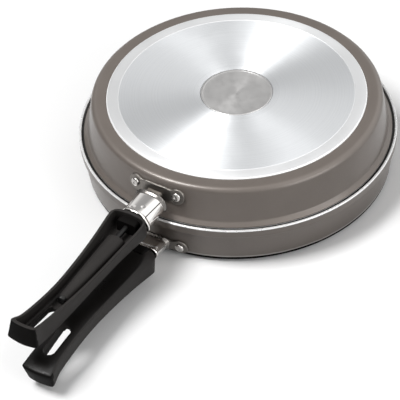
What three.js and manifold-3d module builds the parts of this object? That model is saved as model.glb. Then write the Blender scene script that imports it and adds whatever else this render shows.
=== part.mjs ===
// A double sided flip pan: two round pans, one upside down on the other, with their handles side by side.
// Millimetres, +Z up. The origin is the middle of the lower base on the table, and +X is the lower handle.
// The upper pan lifts straight off.

import * as THREE from 'three';
import { mergeVertices } from 'three/addons/utils/BufferGeometryUtils.js';
import Module from 'manifold-3d';

const wasm = await Module();
wasm.setup();

// The set
const rimRadius = 122;
const lowerDepth = 35;
const upperDepth = 33.3;
const fanAngle = THREE.MathUtils.degToRad(1.9);
const clearance = 0.3;
const overrun = 2;

// Rim of the lower pan, and the ledge inside it that the upper lip stands on
const rimLand = 1.8;
const rimEdgeRound = 0.6;
const rimBandHeight = 6.5;
const rimBandStep = 1.6;
const rimBandSlope = 1.5;
const ledgeDrop = 3;
const ledgeHold = 2.3;

// Lip of the upper pan
const lipPlay = 1.9;
const lipWall = 2.7;
const lipHeight = 2.8;
const lipFlare = 3.1;
const lipFlareHeight = 2.9;
const lipRound = 0.9;
const coveRound = 2.6;

// Bodies of both pans
const lowerFootInset = 4.7;
const upperFootInset = 11.6;
const wallThickness = 3;
const floorThickness = 2.1;
const heelRound = 6;
const innerHeelRound = 2.6;

// Base plates and the discs in their middles
const plateMargin = 11.4;
const plateThickness = 2.6;
const plateProud = 1;
const plateBevel = 0.8;
const medallionRadius = 27.4;
const medallionThickness = 0.8;
const medallionBevel = 0.3;

// Rivets
const lowerRivetHeight = 10.4;
const upperRivetHeight = 11.8;
const rivetSpacing = 34.8;
const rivetShankRadius = 2.2;
const rivetHeadRadius = 3.5;
const rivetHeadHeight = 1.6;
const rivetDimpleRadius = 1.4;
const rivetDimpleDepth = 0.5;
const rivetTailRadius = 3.4;
const rivetTailHeight = 1.2;

// Brackets
const strapThickness = 1.3;
const eyeletRadius = 6.2;
const strapHeight = 10.8;
const neckWidth = 13;
const neckPanMiddle = 13.9;
const neckPanHeight = 4.8;
const neckGripHeight = 9.2;
const neckWall = 1.3;
const neckBevel = 1.2;
const neckReach = 8;

// Ferrules
const ferruleGap = 6.2;
const ferruleWall = 1;
const ferrulePanWidth = 25;
const ferrulePanHeight = 12.4;
const ferrulePanMiddle = 15.6;
const ferruleGripWidth = 25.6;
const ferruleGripHeight = 15.2;
const ferruleGripMiddle = 17;
const ferruleLipFlare = 1.2;
const ferruleLipLength = 3.2;
const ferruleBead = 0.6;
const ferruleBeadLength = 2.2;

// Handles
const gripGap = 20.6;
const gripLength = 139.1;
const gripHalfWidth = 15;
const gripTop = 27.4;
const gripWall = 2.2;
const gripFaceWall = 3;
const gripFrontWall = 3.5;
const gripEndWall = 3.2;
const gripFaceRound = 4;
const gripCrown = 0.7;
const gripRimBevel = 0.6;
const frontBow = 3;
const frontRamp = 12;
const tailBow = 1.8;
const tailSlope = 4.2;
const tailRamp = 18;
const tailRound = 1.8;
const gripCorner = 1.4;

// Hang slot, and the low bead round it inside
const slotLength = 28;
const slotWidth = 9.4;
const slotInset = 28.85;
const slotWall = 1.6;
const slotBeadHeight = 1.2;

// Socket in the front of a handle for the neck, and the spine that the screw runs through, on its low pad
const socketWall = 1.3;
const spineGap = 13;
const spineFrontRadius = 4.6;
const spineWaistRadius = 3.6;
const spineRearRadius = 4.9;
const padFrontWidth = 14.4;
const padRearWidth = 8.2;
const padFrontRise = 3.2;
const padRearRise = 1;

// Screws and nuts that hold the handles on
const screwFrontHeight = 17.4;
const screwRearHeight = 21.2;
const screwRadius = 2;
const screwHeadRadius = 3.4;
const screwHeadLength = 3;
const screwSlotWidth = 0.9;
const screwSlotDepth = 1.1;
const screwHeadDepth = 8;
const nutAcrossCorners = 6.2;
const nutLength = 4.2;

// Shares of the sizes above
const cornerRoomShare = 0.45;
const crownShoulderShare = 0.75;
const eyeletOpeningShare = 0.68;
const strapWaistShare = 0.8;
const rivetTailFaceShare = 0.8;
const spineWaistShare = 0.62;
const ferruleLipShares = [
  { along: 0, out: 1 },
  { along: 0.3, out: 0.9 },
  { along: 0.65, out: 0.3 },
  { along: 1, out: 0 },
];
const ferruleBeadShares = [
  { along: 1, out: 0 },
  { along: 0.7, out: 1 },
  { along: 0.25, out: 1 },
  { along: 0, out: 0.5 },
];
const tailRoundShares = [
  { along: 1, side: 0, face: 0 },
  { along: 0.3, side: 0.1, face: 0.35 },
  { along: 0, side: 0.35, face: 1 },
];
const frontRoundShares = [
  { along: 0, inset: 1 },
  { along: 0.5, inset: 0.3 },
];

// How finely round forms are cut
const turnSides = 56;
const smallSides = 12;
const roundSteps = 3;
const gripStations = 12;
const gripFrontShares = [0.012, 0.03, 0.06, 0.1];

// Shape of a handle from front to tail. Along is a share of its length, the two half widths are shares of
// the widest one, the two heights are shares of the highest place on the closed face, and round is a share of
// the largest round between that face and the sides.
const gripShapeShares = [
  { along: 0, rimHalf: 0.8, faceHalf: 0.8, rim: 0.352, face: 0.938, round: 0.9 },
  { along: 0.012, rimHalf: 0.89, faceHalf: 0.9, rim: 0.35, face: 0.952, round: 1 },
  { along: 0.03, rimHalf: 0.965, faceHalf: 0.975, rim: 0.357, face: 0.958, round: 1 },
  { along: 0.06, rimHalf: 1, faceHalf: 1, rim: 0.382, face: 0.96, round: 1 },
  { along: 0.1, rimHalf: 0.983, faceHalf: 0.95, rim: 0.414, face: 0.955, round: 0.85 },
  { along: 0.16, rimHalf: 0.932, faceHalf: 0.85, rim: 0.456, face: 0.943, round: 0.6 },
  { along: 0.235, rimHalf: 0.866, faceHalf: 0.785, rim: 0.498, face: 0.936, round: 0.4 },
  { along: 0.423, rimHalf: 0.753, faceHalf: 0.712, rim: 0.577, face: 0.964, round: 0.35 },
  { along: 0.611, rimHalf: 0.66, faceHalf: 0.679, rim: 0.577, face: 1, round: 0.35 },
  { along: 0.8, rimHalf: 0.62, faceHalf: 0.7, rim: 0.46, face: 0.965, round: 0.35 },
  { along: 0.912, rimHalf: 0.633, faceHalf: 0.735, rim: 0.35, face: 0.895, round: 0.35 },
  { along: 1, rimHalf: 0.7, faceHalf: 0.835, rim: 0.235, face: 0.76, round: 0.35 },
];

// Outline of a ferrule from the middle of its open side round to the middle of its closed side. Pan and grip
// are shares of its half width at its two ends, and up is a share of its half height.
const ferruleOutlineShares = [
  { pan: 0, grip: 0, up: -1 },
  { pan: 0.3, grip: 0.27, up: -0.96 },
  { pan: 0.6, grip: 0.52, up: -0.83 },
  { pan: 0.85, grip: 0.72, up: -0.52 },
  { pan: 0.93, grip: 0.82, up: -0.22 },
  { pan: 0.985, grip: 0.92, up: 0.08 },
  { pan: 1, grip: 0.985, up: 0.4 },
  { pan: 0.96, grip: 0.96, up: 0.7 },
  { pan: 0.78, grip: 0.8, up: 0.92 },
  { pan: 0.4, grip: 0.42, up: 0.99 },
  { pan: 0, grip: 0, up: 1 },
];

// Sizes that follow
const closedHeight = lowerDepth - ledgeDrop + clearance + upperDepth;
const lowerFootRadius = rimRadius - lowerFootInset;
const upperFootRadius = rimRadius - upperFootInset;
const plateRadius = upperFootRadius - plateMargin;
const rimInnerRadius = rimRadius - rimLand;
const ledgeHeight = lowerDepth - ledgeDrop;
const lipRadius = rimInnerRadius - lipPlay;
const ledgeInnerRadius = lipRadius - ledgeHold;
const pocketRadius = plateRadius + clearance;
const pocketTop = plateThickness + clearance;
const floorTop = pocketTop + floorThickness;
const gripStart = rimRadius + gripGap;
const gripEnd = gripStart + gripLength;
const slotCentre = gripEnd - slotInset;
const slotFront = slotCentre - slotLength / 2;
const screwSlope = (screwRearHeight - screwFrontHeight) / (slotFront - gripStart);
const screwTilt = Math.atan(screwSlope);
const neckEnd = gripStart + neckReach;
const nutStart = neckEnd - neckWall - clearance - nutLength;
const spineStart = neckEnd + spineGap;

const lowerWall = {
  rivets: lowerRivetHeight,
  foot: new THREE.Vector2(lowerFootRadius, plateProud),
  top: new THREE.Vector2(rimRadius - rimBandStep, lowerDepth - rimBandHeight - rimBandSlope),
  innerFoot: new THREE.Vector2(lowerFootRadius - wallThickness, floorTop),
  innerTop: new THREE.Vector2(ledgeInnerRadius, ledgeHeight),
};

const upperWall = {
  rivets: upperRivetHeight,
  foot: new THREE.Vector2(upperFootRadius, plateProud),
  top: new THREE.Vector2(lipRadius - lipFlare, upperDepth - lipHeight - lipFlareHeight),
  innerFoot: new THREE.Vector2(upperFootRadius - wallThickness, floorTop),
  innerTop: new THREE.Vector2(lipRadius - lipFlare - wallThickness, upperDepth - lipHeight - lipFlareHeight),
};

const taupe = { color: 0x6e6660, roughness: 0.45, metalness: 0.35 };
const spunAluminium = { color: 0xd9dbdc, roughness: 0.32, metalness: 1 };
const satinAluminium = { color: 0xbdbcb6, roughness: 0.45, metalness: 1 };
const steel = { color: 0xcfccc4, roughness: 0.2, metalness: 1 };
const bakelite = { color: 0x1b1817, roughness: 0.42, metalness: 0 };

// Leaves only positions, shares the vertices that coincide and drops the triangles that collapse
function weld(geometry) {
  const bare = geometry.clone();
  bare.deleteAttribute('normal');
  bare.deleteAttribute('uv');
  const merged = mergeVertices(bare);
  const index = merged.getIndex().array;
  const kept = [];
  for (let i = 0; i < index.length; i += 3) {
    const [a, b, c] = [index[i], index[i + 1], index[i + 2]];
    if (a !== b && b !== c && c !== a) {
      kept.push(a, b, c);
    }
  }
  merged.setIndex(kept);
  return merged;
}

function toSolid(geometry) {
  const welded = weld(geometry);
  const vertProperties = new Float32Array(welded.getAttribute('position').array);
  const triVerts = new Uint32Array(welded.getIndex().array);
  return new wasm.Manifold(new wasm.Mesh({ numProp: 3, vertProperties, triVerts }));
}

function toGeometry(solid) {
  const { vertProperties, triVerts } = solid.getMesh();
  const geometry = new THREE.BufferGeometry();
  geometry.setAttribute('position', new THREE.BufferAttribute(new Float32Array(vertProperties), 3));
  geometry.setIndex(Array.from(triVerts));
  return geometry;
}

// Joins the added geometries to the first and then cuts the others away
function shape(first, added, cut) {
  let solid = toSolid(first);
  for (const geometry of added) {
    solid = solid.add(toSolid(geometry));
  }
  for (const geometry of cut) {
    solid = solid.subtract(toSolid(geometry));
  }
  return toGeometry(solid);
}

// An outline through corners, each with its own radius where it has one
function roundCorners(corners) {
  const points = [];
  corners.forEach(({ at, radius }, i) => {
    if (!radius) {
      points.push(at.clone());
      return;
    }
    const before = corners[i - 1].at.clone().sub(at).normalize();
    const after = corners[i + 1].at.clone().sub(at).normalize();
    const half = Math.acos(THREE.MathUtils.clamp(before.dot(after), -1, 1)) / 2;
    const room = Math.min(corners[i - 1].at.distanceTo(at), corners[i + 1].at.distanceTo(at));
    const reach = Math.min(radius / Math.tan(half), room * cornerRoomShare);
    const start = at.clone().addScaledVector(before, reach);
    const end = at.clone().addScaledVector(after, reach);
    const middle = before.clone().add(after).normalize().multiplyScalar(reach / Math.cos(half)).add(at);
    const from = start.clone().sub(middle);
    const turn = from.cross(end.clone().sub(middle)) > 0 ? 1 : -1;
    const sweep = (Math.PI - 2 * half) * turn;
    for (let step = 0; step <= roundSteps; step += 1) {
      points.push(start.clone().rotateAround(middle, (sweep * step) / roundSteps));
    }
  });
  return points;
}

function corner(radial, height, radius = 0) {
  return { at: new THREE.Vector2(radial, height), radius };
}

// Turns an outline of radius and height round the Z axis
function turned(outline, sides = turnSides) {
  return new THREE.LatheGeometry(outline, sides).rotateX(Math.PI / 2);
}

// A closed skin over rings with the same number of points, each ring going from +Y over +Z
function loft(rings) {
  const count = rings[0].length;
  const positions = rings.flat().flatMap((point) => point.toArray());
  const index = [];
  for (let ring = 0; ring < rings.length - 1; ring += 1) {
    for (let side = 0; side < count; side += 1) {
      const a = ring * count + side;
      const b = ring * count + ((side + 1) % count);
      index.push(a, b, a + count, b, b + count, a + count);
    }
  }
  const last = (rings.length - 1) * count;
  for (let side = 1; side < count - 1; side += 1) {
    index.push(0, side + 1, side);
    index.push(last, last + side, last + side + 1);
  }
  const geometry = new THREE.BufferGeometry();
  geometry.setAttribute('position', new THREE.Float32BufferAttribute(positions, 3));
  geometry.setIndex(index);
  return geometry;
}

// An outline in Y and Z pushed along +X
function pushedAlongX(outline, start, length) {
  const settings = { depth: length, bevelEnabled: false, curveSegments: smallSides };
  const geometry = new THREE.ExtrudeGeometry(outline, settings);
  geometry.rotateX(Math.PI / 2).rotateZ(Math.PI / 2);
  return geometry.translate(start, 0, 0);
}

function pushedAlongZ(outline, start, height) {
  const settings = { depth: height, bevelEnabled: false, curveSegments: smallSides / 2 };
  return new THREE.ExtrudeGeometry(outline, settings).translate(0, 0, start);
}

// A round bar along +X whose middle line starts at the given distance
function barAlongX(radius, start, length, sides = smallSides) {
  return new THREE.CylinderGeometry(radius, radius, length, sides)
    .rotateZ(-Math.PI / 2)
    .translate(start + length / 2, 0, 0);
}

function stadium(length, width) {
  const outline = new THREE.Shape();
  const straight = (length - width) / 2;
  outline.absarc(straight, 0, width / 2, -Math.PI / 2, Math.PI / 2);
  outline.absarc(-straight, 0, width / 2, Math.PI / 2, Math.PI * 1.5);
  return outline;
}

// Radius of a straight wall at a height
function wallRadius(from, to, height) {
  return from.x + ((to.x - from.x) * (height - from.y)) / (to.y - from.y);
}

// Where a rivet goes through a wall: a matrix whose +X points out of the wall, with its origin on the wall
function rivetPlace(wall, side) {
  const radius = wallRadius(wall.foot, wall.top, wall.rivets);
  const lean = Math.atan2(wall.top.x - wall.foot.x, wall.top.y - wall.foot.y);
  const turn = Math.asin((side * rivetSpacing) / 2 / radius);
  const place = new THREE.Matrix4().makeRotationZ(turn);
  place.multiply(new THREE.Matrix4().makeTranslation(radius, 0, wall.rivets));
  place.multiply(new THREE.Matrix4().makeRotationY(lean));
  return place;
}

function rivetHole(wall, side) {
  const reach = wallThickness + strapThickness + rivetTailRadius;
  const hole = barAlongX(rivetShankRadius + clearance, -reach, reach * 2);
  return hole.applyMatrix4(rivetPlace(wall, side));
}

// Underside that both pans share, from the axis to where the wall begins
function undersideCorners(wall) {
  return [
    corner(0, pocketTop),
    corner(pocketRadius, pocketTop),
    corner(pocketRadius, plateProud),
    corner(wall.foot.x, wall.foot.y, heelRound),
  ];
}

function insideCorners(wall) {
  return [
    corner(wall.innerTop.x, wall.innerTop.y),
    corner(wall.innerFoot.x, wall.innerFoot.y, innerHeelRound),
    corner(0, floorTop),
  ];
}

function lowerPanOutline() {
  return roundCorners([
    ...undersideCorners(lowerWall),
    corner(lowerWall.top.x, lowerWall.top.y),
    corner(rimRadius, lowerWall.top.y + rimBandSlope),
    corner(rimRadius, lowerDepth - rimEdgeRound),
    corner(rimRadius - rimEdgeRound, lowerDepth),
    corner(rimInnerRadius, lowerDepth),
    corner(rimInnerRadius, ledgeHeight),
    ...insideCorners(lowerWall),
  ]);
}

function upperPanOutline() {
  return roundCorners([
    ...undersideCorners(upperWall),
    corner(upperWall.top.x, upperWall.top.y, coveRound),
    corner(lipRadius, upperDepth - lipHeight, lipRound),
    corner(lipRadius, upperDepth),
    corner(lipRadius - lipWall, upperDepth),
    corner(lipRadius - lipWall, upperDepth - lipHeight),
    ...insideCorners(upperWall),
  ]);
}

function panBody(wall, outline) {
  return shape(turned(outline), [], [rivetHole(wall, 1), rivetHole(wall, -1)]);
}

function basePlate() {
  const recessRadius = medallionRadius + clearance;
  const recessDepth = medallionThickness + clearance;
  return turned([
    new THREE.Vector2(0, recessDepth),
    new THREE.Vector2(recessRadius, recessDepth),
    new THREE.Vector2(recessRadius, 0),
    new THREE.Vector2(plateRadius - plateBevel, 0),
    new THREE.Vector2(plateRadius, plateBevel),
    new THREE.Vector2(plateRadius, plateThickness),
    new THREE.Vector2(0, plateThickness),
  ]);
}

function medallion() {
  return turned([
    new THREE.Vector2(0, 0),
    new THREE.Vector2(medallionRadius - medallionBevel, 0),
    new THREE.Vector2(medallionRadius, medallionBevel),
    new THREE.Vector2(medallionRadius, medallionThickness),
    new THREE.Vector2(0, medallionThickness),
  ]);
}

// A rivet along +X: its tail flat against the inside, its shank and its dimpled head
function rivet(wall, side) {
  const outer = wallRadius(wall.foot, wall.top, wall.rivets);
  const inner = wallRadius(wall.innerFoot, wall.innerTop, wall.rivets);
  const sag = rivetTailRadius ** 2 / inner;
  const outerSlope = (wall.top.x - wall.foot.x) / (wall.top.y - wall.foot.y);
  const innerSlope = (wall.innerTop.x - wall.innerFoot.x) / (wall.innerTop.y - wall.innerFoot.y);
  const wedge = rivetTailRadius * Math.abs(outerSlope - innerSlope);
  const tailFace = inner - outer - clearance - sag - wedge;
  const headFace = clearance * 2 + strapThickness;
  const headTop = headFace + rivetHeadHeight;
  const dome = new THREE.QuadraticBezierCurve(
    new THREE.Vector2(rivetHeadRadius, headFace),
    new THREE.Vector2(rivetHeadRadius, headTop),
    new THREE.Vector2(rivetDimpleRadius, headTop),
  );
  const outline = [
    new THREE.Vector2(0, tailFace - rivetTailHeight),
    new THREE.Vector2(rivetTailRadius * rivetTailFaceShare, tailFace - rivetTailHeight),
    new THREE.Vector2(rivetTailRadius, tailFace - rivetTailHeight / 2),
    new THREE.Vector2(rivetTailRadius, tailFace),
    new THREE.Vector2(rivetShankRadius, tailFace),
    new THREE.Vector2(rivetShankRadius, headFace),
    ...dome.getPoints(roundSteps),
    new THREE.Vector2(0, headTop - rivetDimpleDepth),
  ];
  const geometry = new THREE.LatheGeometry(outline, smallSides).rotateZ(-Math.PI / 2);
  return geometry.applyMatrix4(rivetPlace(wall, side));
}

// Matrix that lays a piece made along +X on the line that the handle's screw follows
function screwLine() {
  const place = new THREE.Matrix4().makeTranslation(gripStart, 0, screwFrontHeight);
  place.multiply(new THREE.Matrix4().makeRotationY(-screwTilt));
  place.multiply(new THREE.Matrix4().makeTranslation(-gripStart, 0, 0));
  return place;
}

// Outline of the strap: two round eyelets with a waist beside each
function strapOutline(height) {
  const eyelet = rivetSpacing / 2;
  const half = strapHeight / 2;
  const opening = Math.PI * eyeletOpeningShare;
  const outline = new THREE.Shape();
  const joinY = eyelet + eyeletRadius * Math.cos(opening);
  const joinZ = eyeletRadius * Math.sin(opening);
  const waistY = joinY - joinZ / 2;
  const waistZ = joinZ * strapWaistShare;
  const middleY = waistY - joinZ / 2;
  outline.absarc(eyelet, height, eyeletRadius, -opening, opening);
  outline.quadraticCurveTo(waistY, height + waistZ, middleY, height + half);
  outline.lineTo(-middleY, height + half);
  outline.quadraticCurveTo(-waistY, height + waistZ, -joinY, height + joinZ);
  outline.absarc(-eyelet, height, eyeletRadius, Math.PI - opening, Math.PI + opening);
  outline.quadraticCurveTo(-waistY, height - waistZ, -middleY, height - half);
  outline.lineTo(middleY, height - half);
  outline.quadraticCurveTo(waistY, height - waistZ, joinY, height - joinZ);
  return outline;
}

// The band of space that lies along a wall between two distances from it
function wallBand(wall, near, far) {
  const bottom = wall.rivets - strapHeight;
  const top = wall.rivets + strapHeight;
  const low = wallRadius(wall.foot, wall.top, bottom);
  const high = wallRadius(wall.foot, wall.top, top);
  return turned([
    new THREE.Vector2(low + near, bottom),
    new THREE.Vector2(low + far, bottom),
    new THREE.Vector2(high + far, top),
    new THREE.Vector2(high + near, top),
    new THREE.Vector2(low + near, bottom),
  ]);
}

// One ring of the neck: a rectangle with cut corners, its half sizes less an inset
function neckRing(x, middle, height, inset) {
  const y = neckWidth / 2 - inset;
  const z = height / 2 - inset;
  const bevel = neckBevel - inset / 2;
  const half = [
    [y, bevel - z],
    [y, z - bevel],
    [y - bevel, z],
    [bevel - y, z],
  ];
  const ring = [...half, ...half.map(([across, up]) => [-across, -up])];
  return ring.map(([across, up]) => new THREE.Vector3(x, across, middle + up));
}

// A solid along the neck's way: low where it leaves the pan, rising through the ferrule to the screw's line
function neck(start, ferruleStart, end, inset) {
  return loft([
    neckRing(start, neckPanMiddle, neckPanHeight, inset),
    neckRing(ferruleStart, neckPanMiddle, neckPanHeight, inset),
    neckRing(gripStart, screwHeight(gripStart), neckGripHeight, inset),
    neckRing(end, screwHeight(end), neckGripHeight, inset),
  ]);
}

// A bracket: a strap that follows the wall, and a hollow neck that runs out through the ferrule
function bracket(wall) {
  const middle = wallRadius(wall.foot, wall.top, neckPanMiddle);
  const strap = toSolid(pushedAlongX(strapOutline(wall.rivets), middle / 2, middle));
  const band = toSolid(wallBand(wall, clearance, clearance + strapThickness));
  const inside = toSolid(wallBand(wall, -middle / 2, clearance));
  const start = middle - overrun;
  const ferruleStart = middle + ferruleGap;
  const screwHole = barAlongX(screwRadius + clearance, nutStart, neckReach + overrun).applyMatrix4(screwLine());
  let solid = toSolid(neck(start, ferruleStart, neckEnd, 0)).subtract(inside).add(strap.intersect(band));
  solid = solid.subtract(toSolid(neck(start, ferruleStart, neckEnd - neckWall, neckWall)));
  solid = solid.subtract(toSolid(screwHole));
  for (const side of [1, -1]) {
    solid = solid.subtract(toSolid(rivetHole(wall, side)));
  }
  return toGeometry(solid);
}

// One ring of a ferrule, drawn from its share of the way to the handle and grown or shrunk
function ferruleRing(x, share, grow) {
  const halfWidth = THREE.MathUtils.lerp(ferrulePanWidth, ferruleGripWidth, share) / 2 + grow;
  const halfHeight = THREE.MathUtils.lerp(ferrulePanHeight, ferruleGripHeight, share) / 2 + grow;
  const middle = THREE.MathUtils.lerp(ferrulePanMiddle, ferruleGripMiddle, share);
  const half = ferruleOutlineShares.map((point) => {
    return [THREE.MathUtils.lerp(point.pan, point.grip, share) * halfWidth, middle + point.up * halfHeight];
  });
  const otherHalf = half.slice(1, -1).reverse().map(([y, z]) => [-y, z]);
  return [...half, ...otherHalf].map(([y, z]) => new THREE.Vector3(x, y, z));
}

// A ferrule: a thin flared sleeve with a turned-out lip towards the pan and a bead towards the handle
function ferrule(wall) {
  const start = wallRadius(wall.foot, wall.top, ferrulePanMiddle) + ferruleGap;
  const end = gripStart - clearance;
  const lip = ferruleLipShares.map(({ along, out }) => ({
    x: start + along * ferruleLipLength,
    grow: out * ferruleLipFlare,
  }));
  const bead = ferruleBeadShares.map(({ along, out }) => ({
    x: end - along * ferruleBeadLength,
    grow: out * ferruleBead,
  }));
  const rows = [...lip, ...bead];
  const shareOf = (x) => (x - start) / (end - start);
  const outer = rows.map(({ x, grow }) => ferruleRing(x, shareOf(x), grow));
  const inner = rows.map(({ x, grow }) => ferruleRing(x, shareOf(x), grow - ferruleWall));
  const first = inner[0].map((point) => point.clone().setX(start - overrun));
  const last = inner.at(-1).map((point) => point.clone().setX(end + overrun));
  return shape(loft(outer), [], [loft([first, ...inner, last])]);
}

const gripColumns = ['rimHalf', 'faceHalf', 'rim', 'face', 'round'];
const gripCurve = new THREE.CubicInterpolant(
  gripShapeShares.map((row) => row.along),
  gripShapeShares.flatMap((row) => gripColumns.map((column) => row[column])),
  gripColumns.length,
);

// Half widths, heights and corner round of a handle at a distance from the pan's axis
function gripAt(distance) {
  const share = THREE.MathUtils.clamp((distance - gripStart) / gripLength, 0, 1);
  const [rimHalf, faceHalf, rim, face, round] = gripCurve.evaluate(share);
  return {
    rimHalf: rimHalf * gripHalfWidth,
    faceHalf: faceHalf * gripHalfWidth,
    rim: rim * gripTop,
    face: face * gripTop,
    round: round * gripFaceRound,
  };
}

// Bends the ends of a handle: the front is bowed at the open edge and straight at the closed face, and the
// tail is bowed all over and cut back towards the open edge
function gripPoint(distance, across, height, size) {
  const bow = (across / size.faceHalf) ** 2;
  const opening = (size.face - height) / (size.face - size.rim);
  const front = 1 - THREE.MathUtils.smoothstep(distance, gripStart, gripStart + frontRamp);
  const tail = THREE.MathUtils.smoothstep(distance, gripEnd - tailRamp, gripEnd);
  const shift = front * frontBow * bow * opening - tail * (tailBow * bow + tailSlope * opening);
  return new THREE.Vector3(distance + shift, across, height);
}

// One ring of a handle, from the open edge on the +Y side over the closed face to the other edge
function gripRing(distance, inset, faceInset, drop) {
  const size = gripAt(distance);
  const rimHalf = size.rimHalf - inset;
  const faceHalf = size.faceHalf - inset;
  const rim = size.rim - drop;
  const face = size.face - faceInset;
  const { round } = size;
  const half = [
    [rimHalf - gripRimBevel, rim],
    [rimHalf, rim + gripRimBevel],
    [faceHalf, face - round],
    [faceHalf - round + round * Math.SQRT1_2, face - round + round * Math.SQRT1_2],
    [faceHalf - round, face],
    [(faceHalf - round) / 2, face + gripCrown * crownShoulderShare],
  ];
  const ring = [...half, [0, face + gripCrown], ...half.reverse().map(([y, z]) => [-y, z])];
  return ring.map(([y, z]) => gripPoint(distance, y, z, size));
}

// Distances at which a handle is drawn, closer together at its front corner
function gripDistances(from, to) {
  const shares = [0, ...gripFrontShares];
  for (let station = 1; station <= gripStations; station += 1) {
    const share = station / gripStations;
    shares.push(THREE.MathUtils.lerp(gripFrontShares.at(-1), 1, share));
  }
  return shares.map((share) => THREE.MathUtils.lerp(from, to, share));
}

// The outside of a handle, with its front and tail edges eased
function gripOutside() {
  const front = frontRoundShares.map(({ along, inset }) => {
    const eased = inset * gripCorner;
    return gripRing(gripStart + along * gripCorner, eased, eased, -eased);
  });
  const middle = gripDistances(gripStart + gripCorner, gripEnd - tailRound).slice(0, -1);
  const tail = tailRoundShares.map(({ along, side, face }) => {
    return gripRing(gripEnd - along * tailRound, side * tailRound, face * tailRound, 0);
  });
  return loft([...front, ...middle.map((x) => gripRing(x, 0, 0, 0)), ...tail]);
}

// The hollow of a handle, open below, whose roof lies a distance under the closed face
function gripInside(roof) {
  const distances = gripDistances(gripStart + gripFrontWall, gripEnd - gripEndWall);
  return loft(distances.map((x) => gripRing(x, gripWall, roof, overrun)));
}

// Height of the screw's middle line at a distance from the pan's axis
function screwHeight(distance) {
  return screwFrontHeight + screwSlope * (distance - gripStart);
}

// The spine that the screw runs through: round on its open side, with a waist, on a pad that sinks in the wall
function spine() {
  const radii = [spineFrontRadius, spineWaistRadius, spineRearRadius];
  const rings = [0, spineWaistShare, 1].map((share, index) => {
    const x = THREE.MathUtils.lerp(spineStart, slotFront, share);
    const floor = gripAt(x).face - gripFaceWall;
    const top = floor + gripFaceWall / 2;
    const pad = floor - THREE.MathUtils.lerp(padFrontRise, padRearRise, share);
    const padHalf = THREE.MathUtils.lerp(padFrontWidth, padRearWidth, share) / 2;
    const radius = Math.min(radii[index], padHalf);
    const crest = [];
    for (let step = 0; step <= 2 * roundSteps; step += 1) {
      const angle = (Math.PI * step) / (2 * roundSteps);
      crest.push([-radius * Math.cos(angle), screwHeight(x) - radius * Math.sin(angle)]);
    }
    const section = [[-padHalf, top], [-padHalf, pad], ...crest, [padHalf, pad], [padHalf, top]];
    return section.map(([y, z]) => new THREE.Vector3(x, y, z));
  });
  return loft(rings);
}

// A handle: a hollow arched moulding, open below, with a bead round its hang slot
function handle() {
  const beadOutline = stadium(slotLength + 2 * slotWall, slotWidth + 2 * slotWall);
  const beadBottom = gripAt(slotCentre + slotLength / 2).rim;
  const ring = toSolid(pushedAlongZ(beadOutline, beadBottom, gripTop - beadBottom).translate(slotCentre, 0, 0));
  const inWall = ring.intersect(toSolid(gripInside(gripFaceWall / 2)));
  const bead = toGeometry(inWall.subtract(toSolid(gripInside(gripFaceWall + slotBeadHeight))));
  const slotOutline = stadium(slotLength, slotWidth);
  const slotDepth = gripTop + gripCrown + overrun - beadBottom;
  const slot = pushedAlongZ(slotOutline, beadBottom, slotDepth).translate(slotCentre, 0, 0);
  const boreStart = neckEnd - overrun;
  const bore = barAlongX(screwRadius + clearance, boreStart, slotFront + overrun - boreStart);
  const tunnel = barAlongX(screwHeadRadius + clearance, slotFront - screwHeadDepth, screwHeadDepth + overrun);
  const socketEnds = [gripStart - overrun, neckEnd + clearance];
  const socket = loft(socketEnds.map((x) => neckRing(x, screwHeight(x), neckGripHeight, -clearance)));
  const sleeveEnds = [gripStart + gripFrontWall / 2, neckEnd + clearance + socketWall];
  const sleeve = loft(sleeveEnds.map((x) => {
    const middle = screwHeight(x) + gripFaceWall / 4;
    return neckRing(x, middle, neckGripHeight + gripFaceWall / 2, -clearance - socketWall);
  }));
  const onLine = [bore, tunnel].map((piece) => piece.applyMatrix4(screwLine()));
  const hollow = toGeometry(toSolid(gripOutside()).subtract(toSolid(gripInside(gripFaceWall))));
  return shape(hollow, [spine(), sleeve, bead], [slot, socket, ...onLine]);
}

// The long screw: its head in the tunnel that opens into the slot, its point through the nut
function screw() {
  const headStart = slotFront - screwHeadDepth;
  const tip = nutStart - overrun;
  const shank = barAlongX(screwRadius, tip, headStart + clearance + overrun - tip);
  const head = barAlongX(screwHeadRadius, headStart + clearance, screwHeadLength);
  const cutStart = headStart + clearance + screwHeadLength - screwSlotDepth;
  const cut = new THREE.BoxGeometry(screwSlotDepth + overrun, 2 * (screwHeadRadius + overrun), screwSlotWidth)
    .translate(cutStart + (screwSlotDepth + overrun) / 2, 0, 0);
  return shape(shank, [head], [cut]).applyMatrix4(screwLine());
}

function nut() {
  const body = barAlongX(nutAcrossCorners / 2, nutStart, nutLength, 6);
  const hole = barAlongX(screwRadius + clearance, nutStart - overrun, nutLength + 2 * overrun);
  return shape(body, [], [hole]).applyMatrix4(screwLine());
}

function part(name, geometry, finish) {
  const mesh = new THREE.Mesh(geometry, new THREE.MeshStandardMaterial(finish));
  mesh.name = name;
  mesh.geometry.computeVertexNormals();
  return mesh;
}

// One pan with all that is fixed to it, base down and handle along +X
function pan(side, wall, outline) {
  const group = new THREE.Group();
  group.add(
    part(`${side}_pan`, panBody(wall, outline), taupe),
    part(`${side}_base_plate`, basePlate(), spunAluminium),
    part(`${side}_medallion`, medallion(), satinAluminium),
    part(`${side}_bracket`, bracket(wall), steel),
    part(`${side}_rivet_left`, rivet(wall, 1), steel),
    part(`${side}_rivet_right`, rivet(wall, -1), steel),
    part(`${side}_ferrule`, ferrule(wall), steel),
    part(`${side}_handle`, handle(), bakelite),
    part(`${side}_handle_screw`, screw(), steel),
    part(`${side}_handle_nut`, nut(), steel),
  );
  return group;
}

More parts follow.
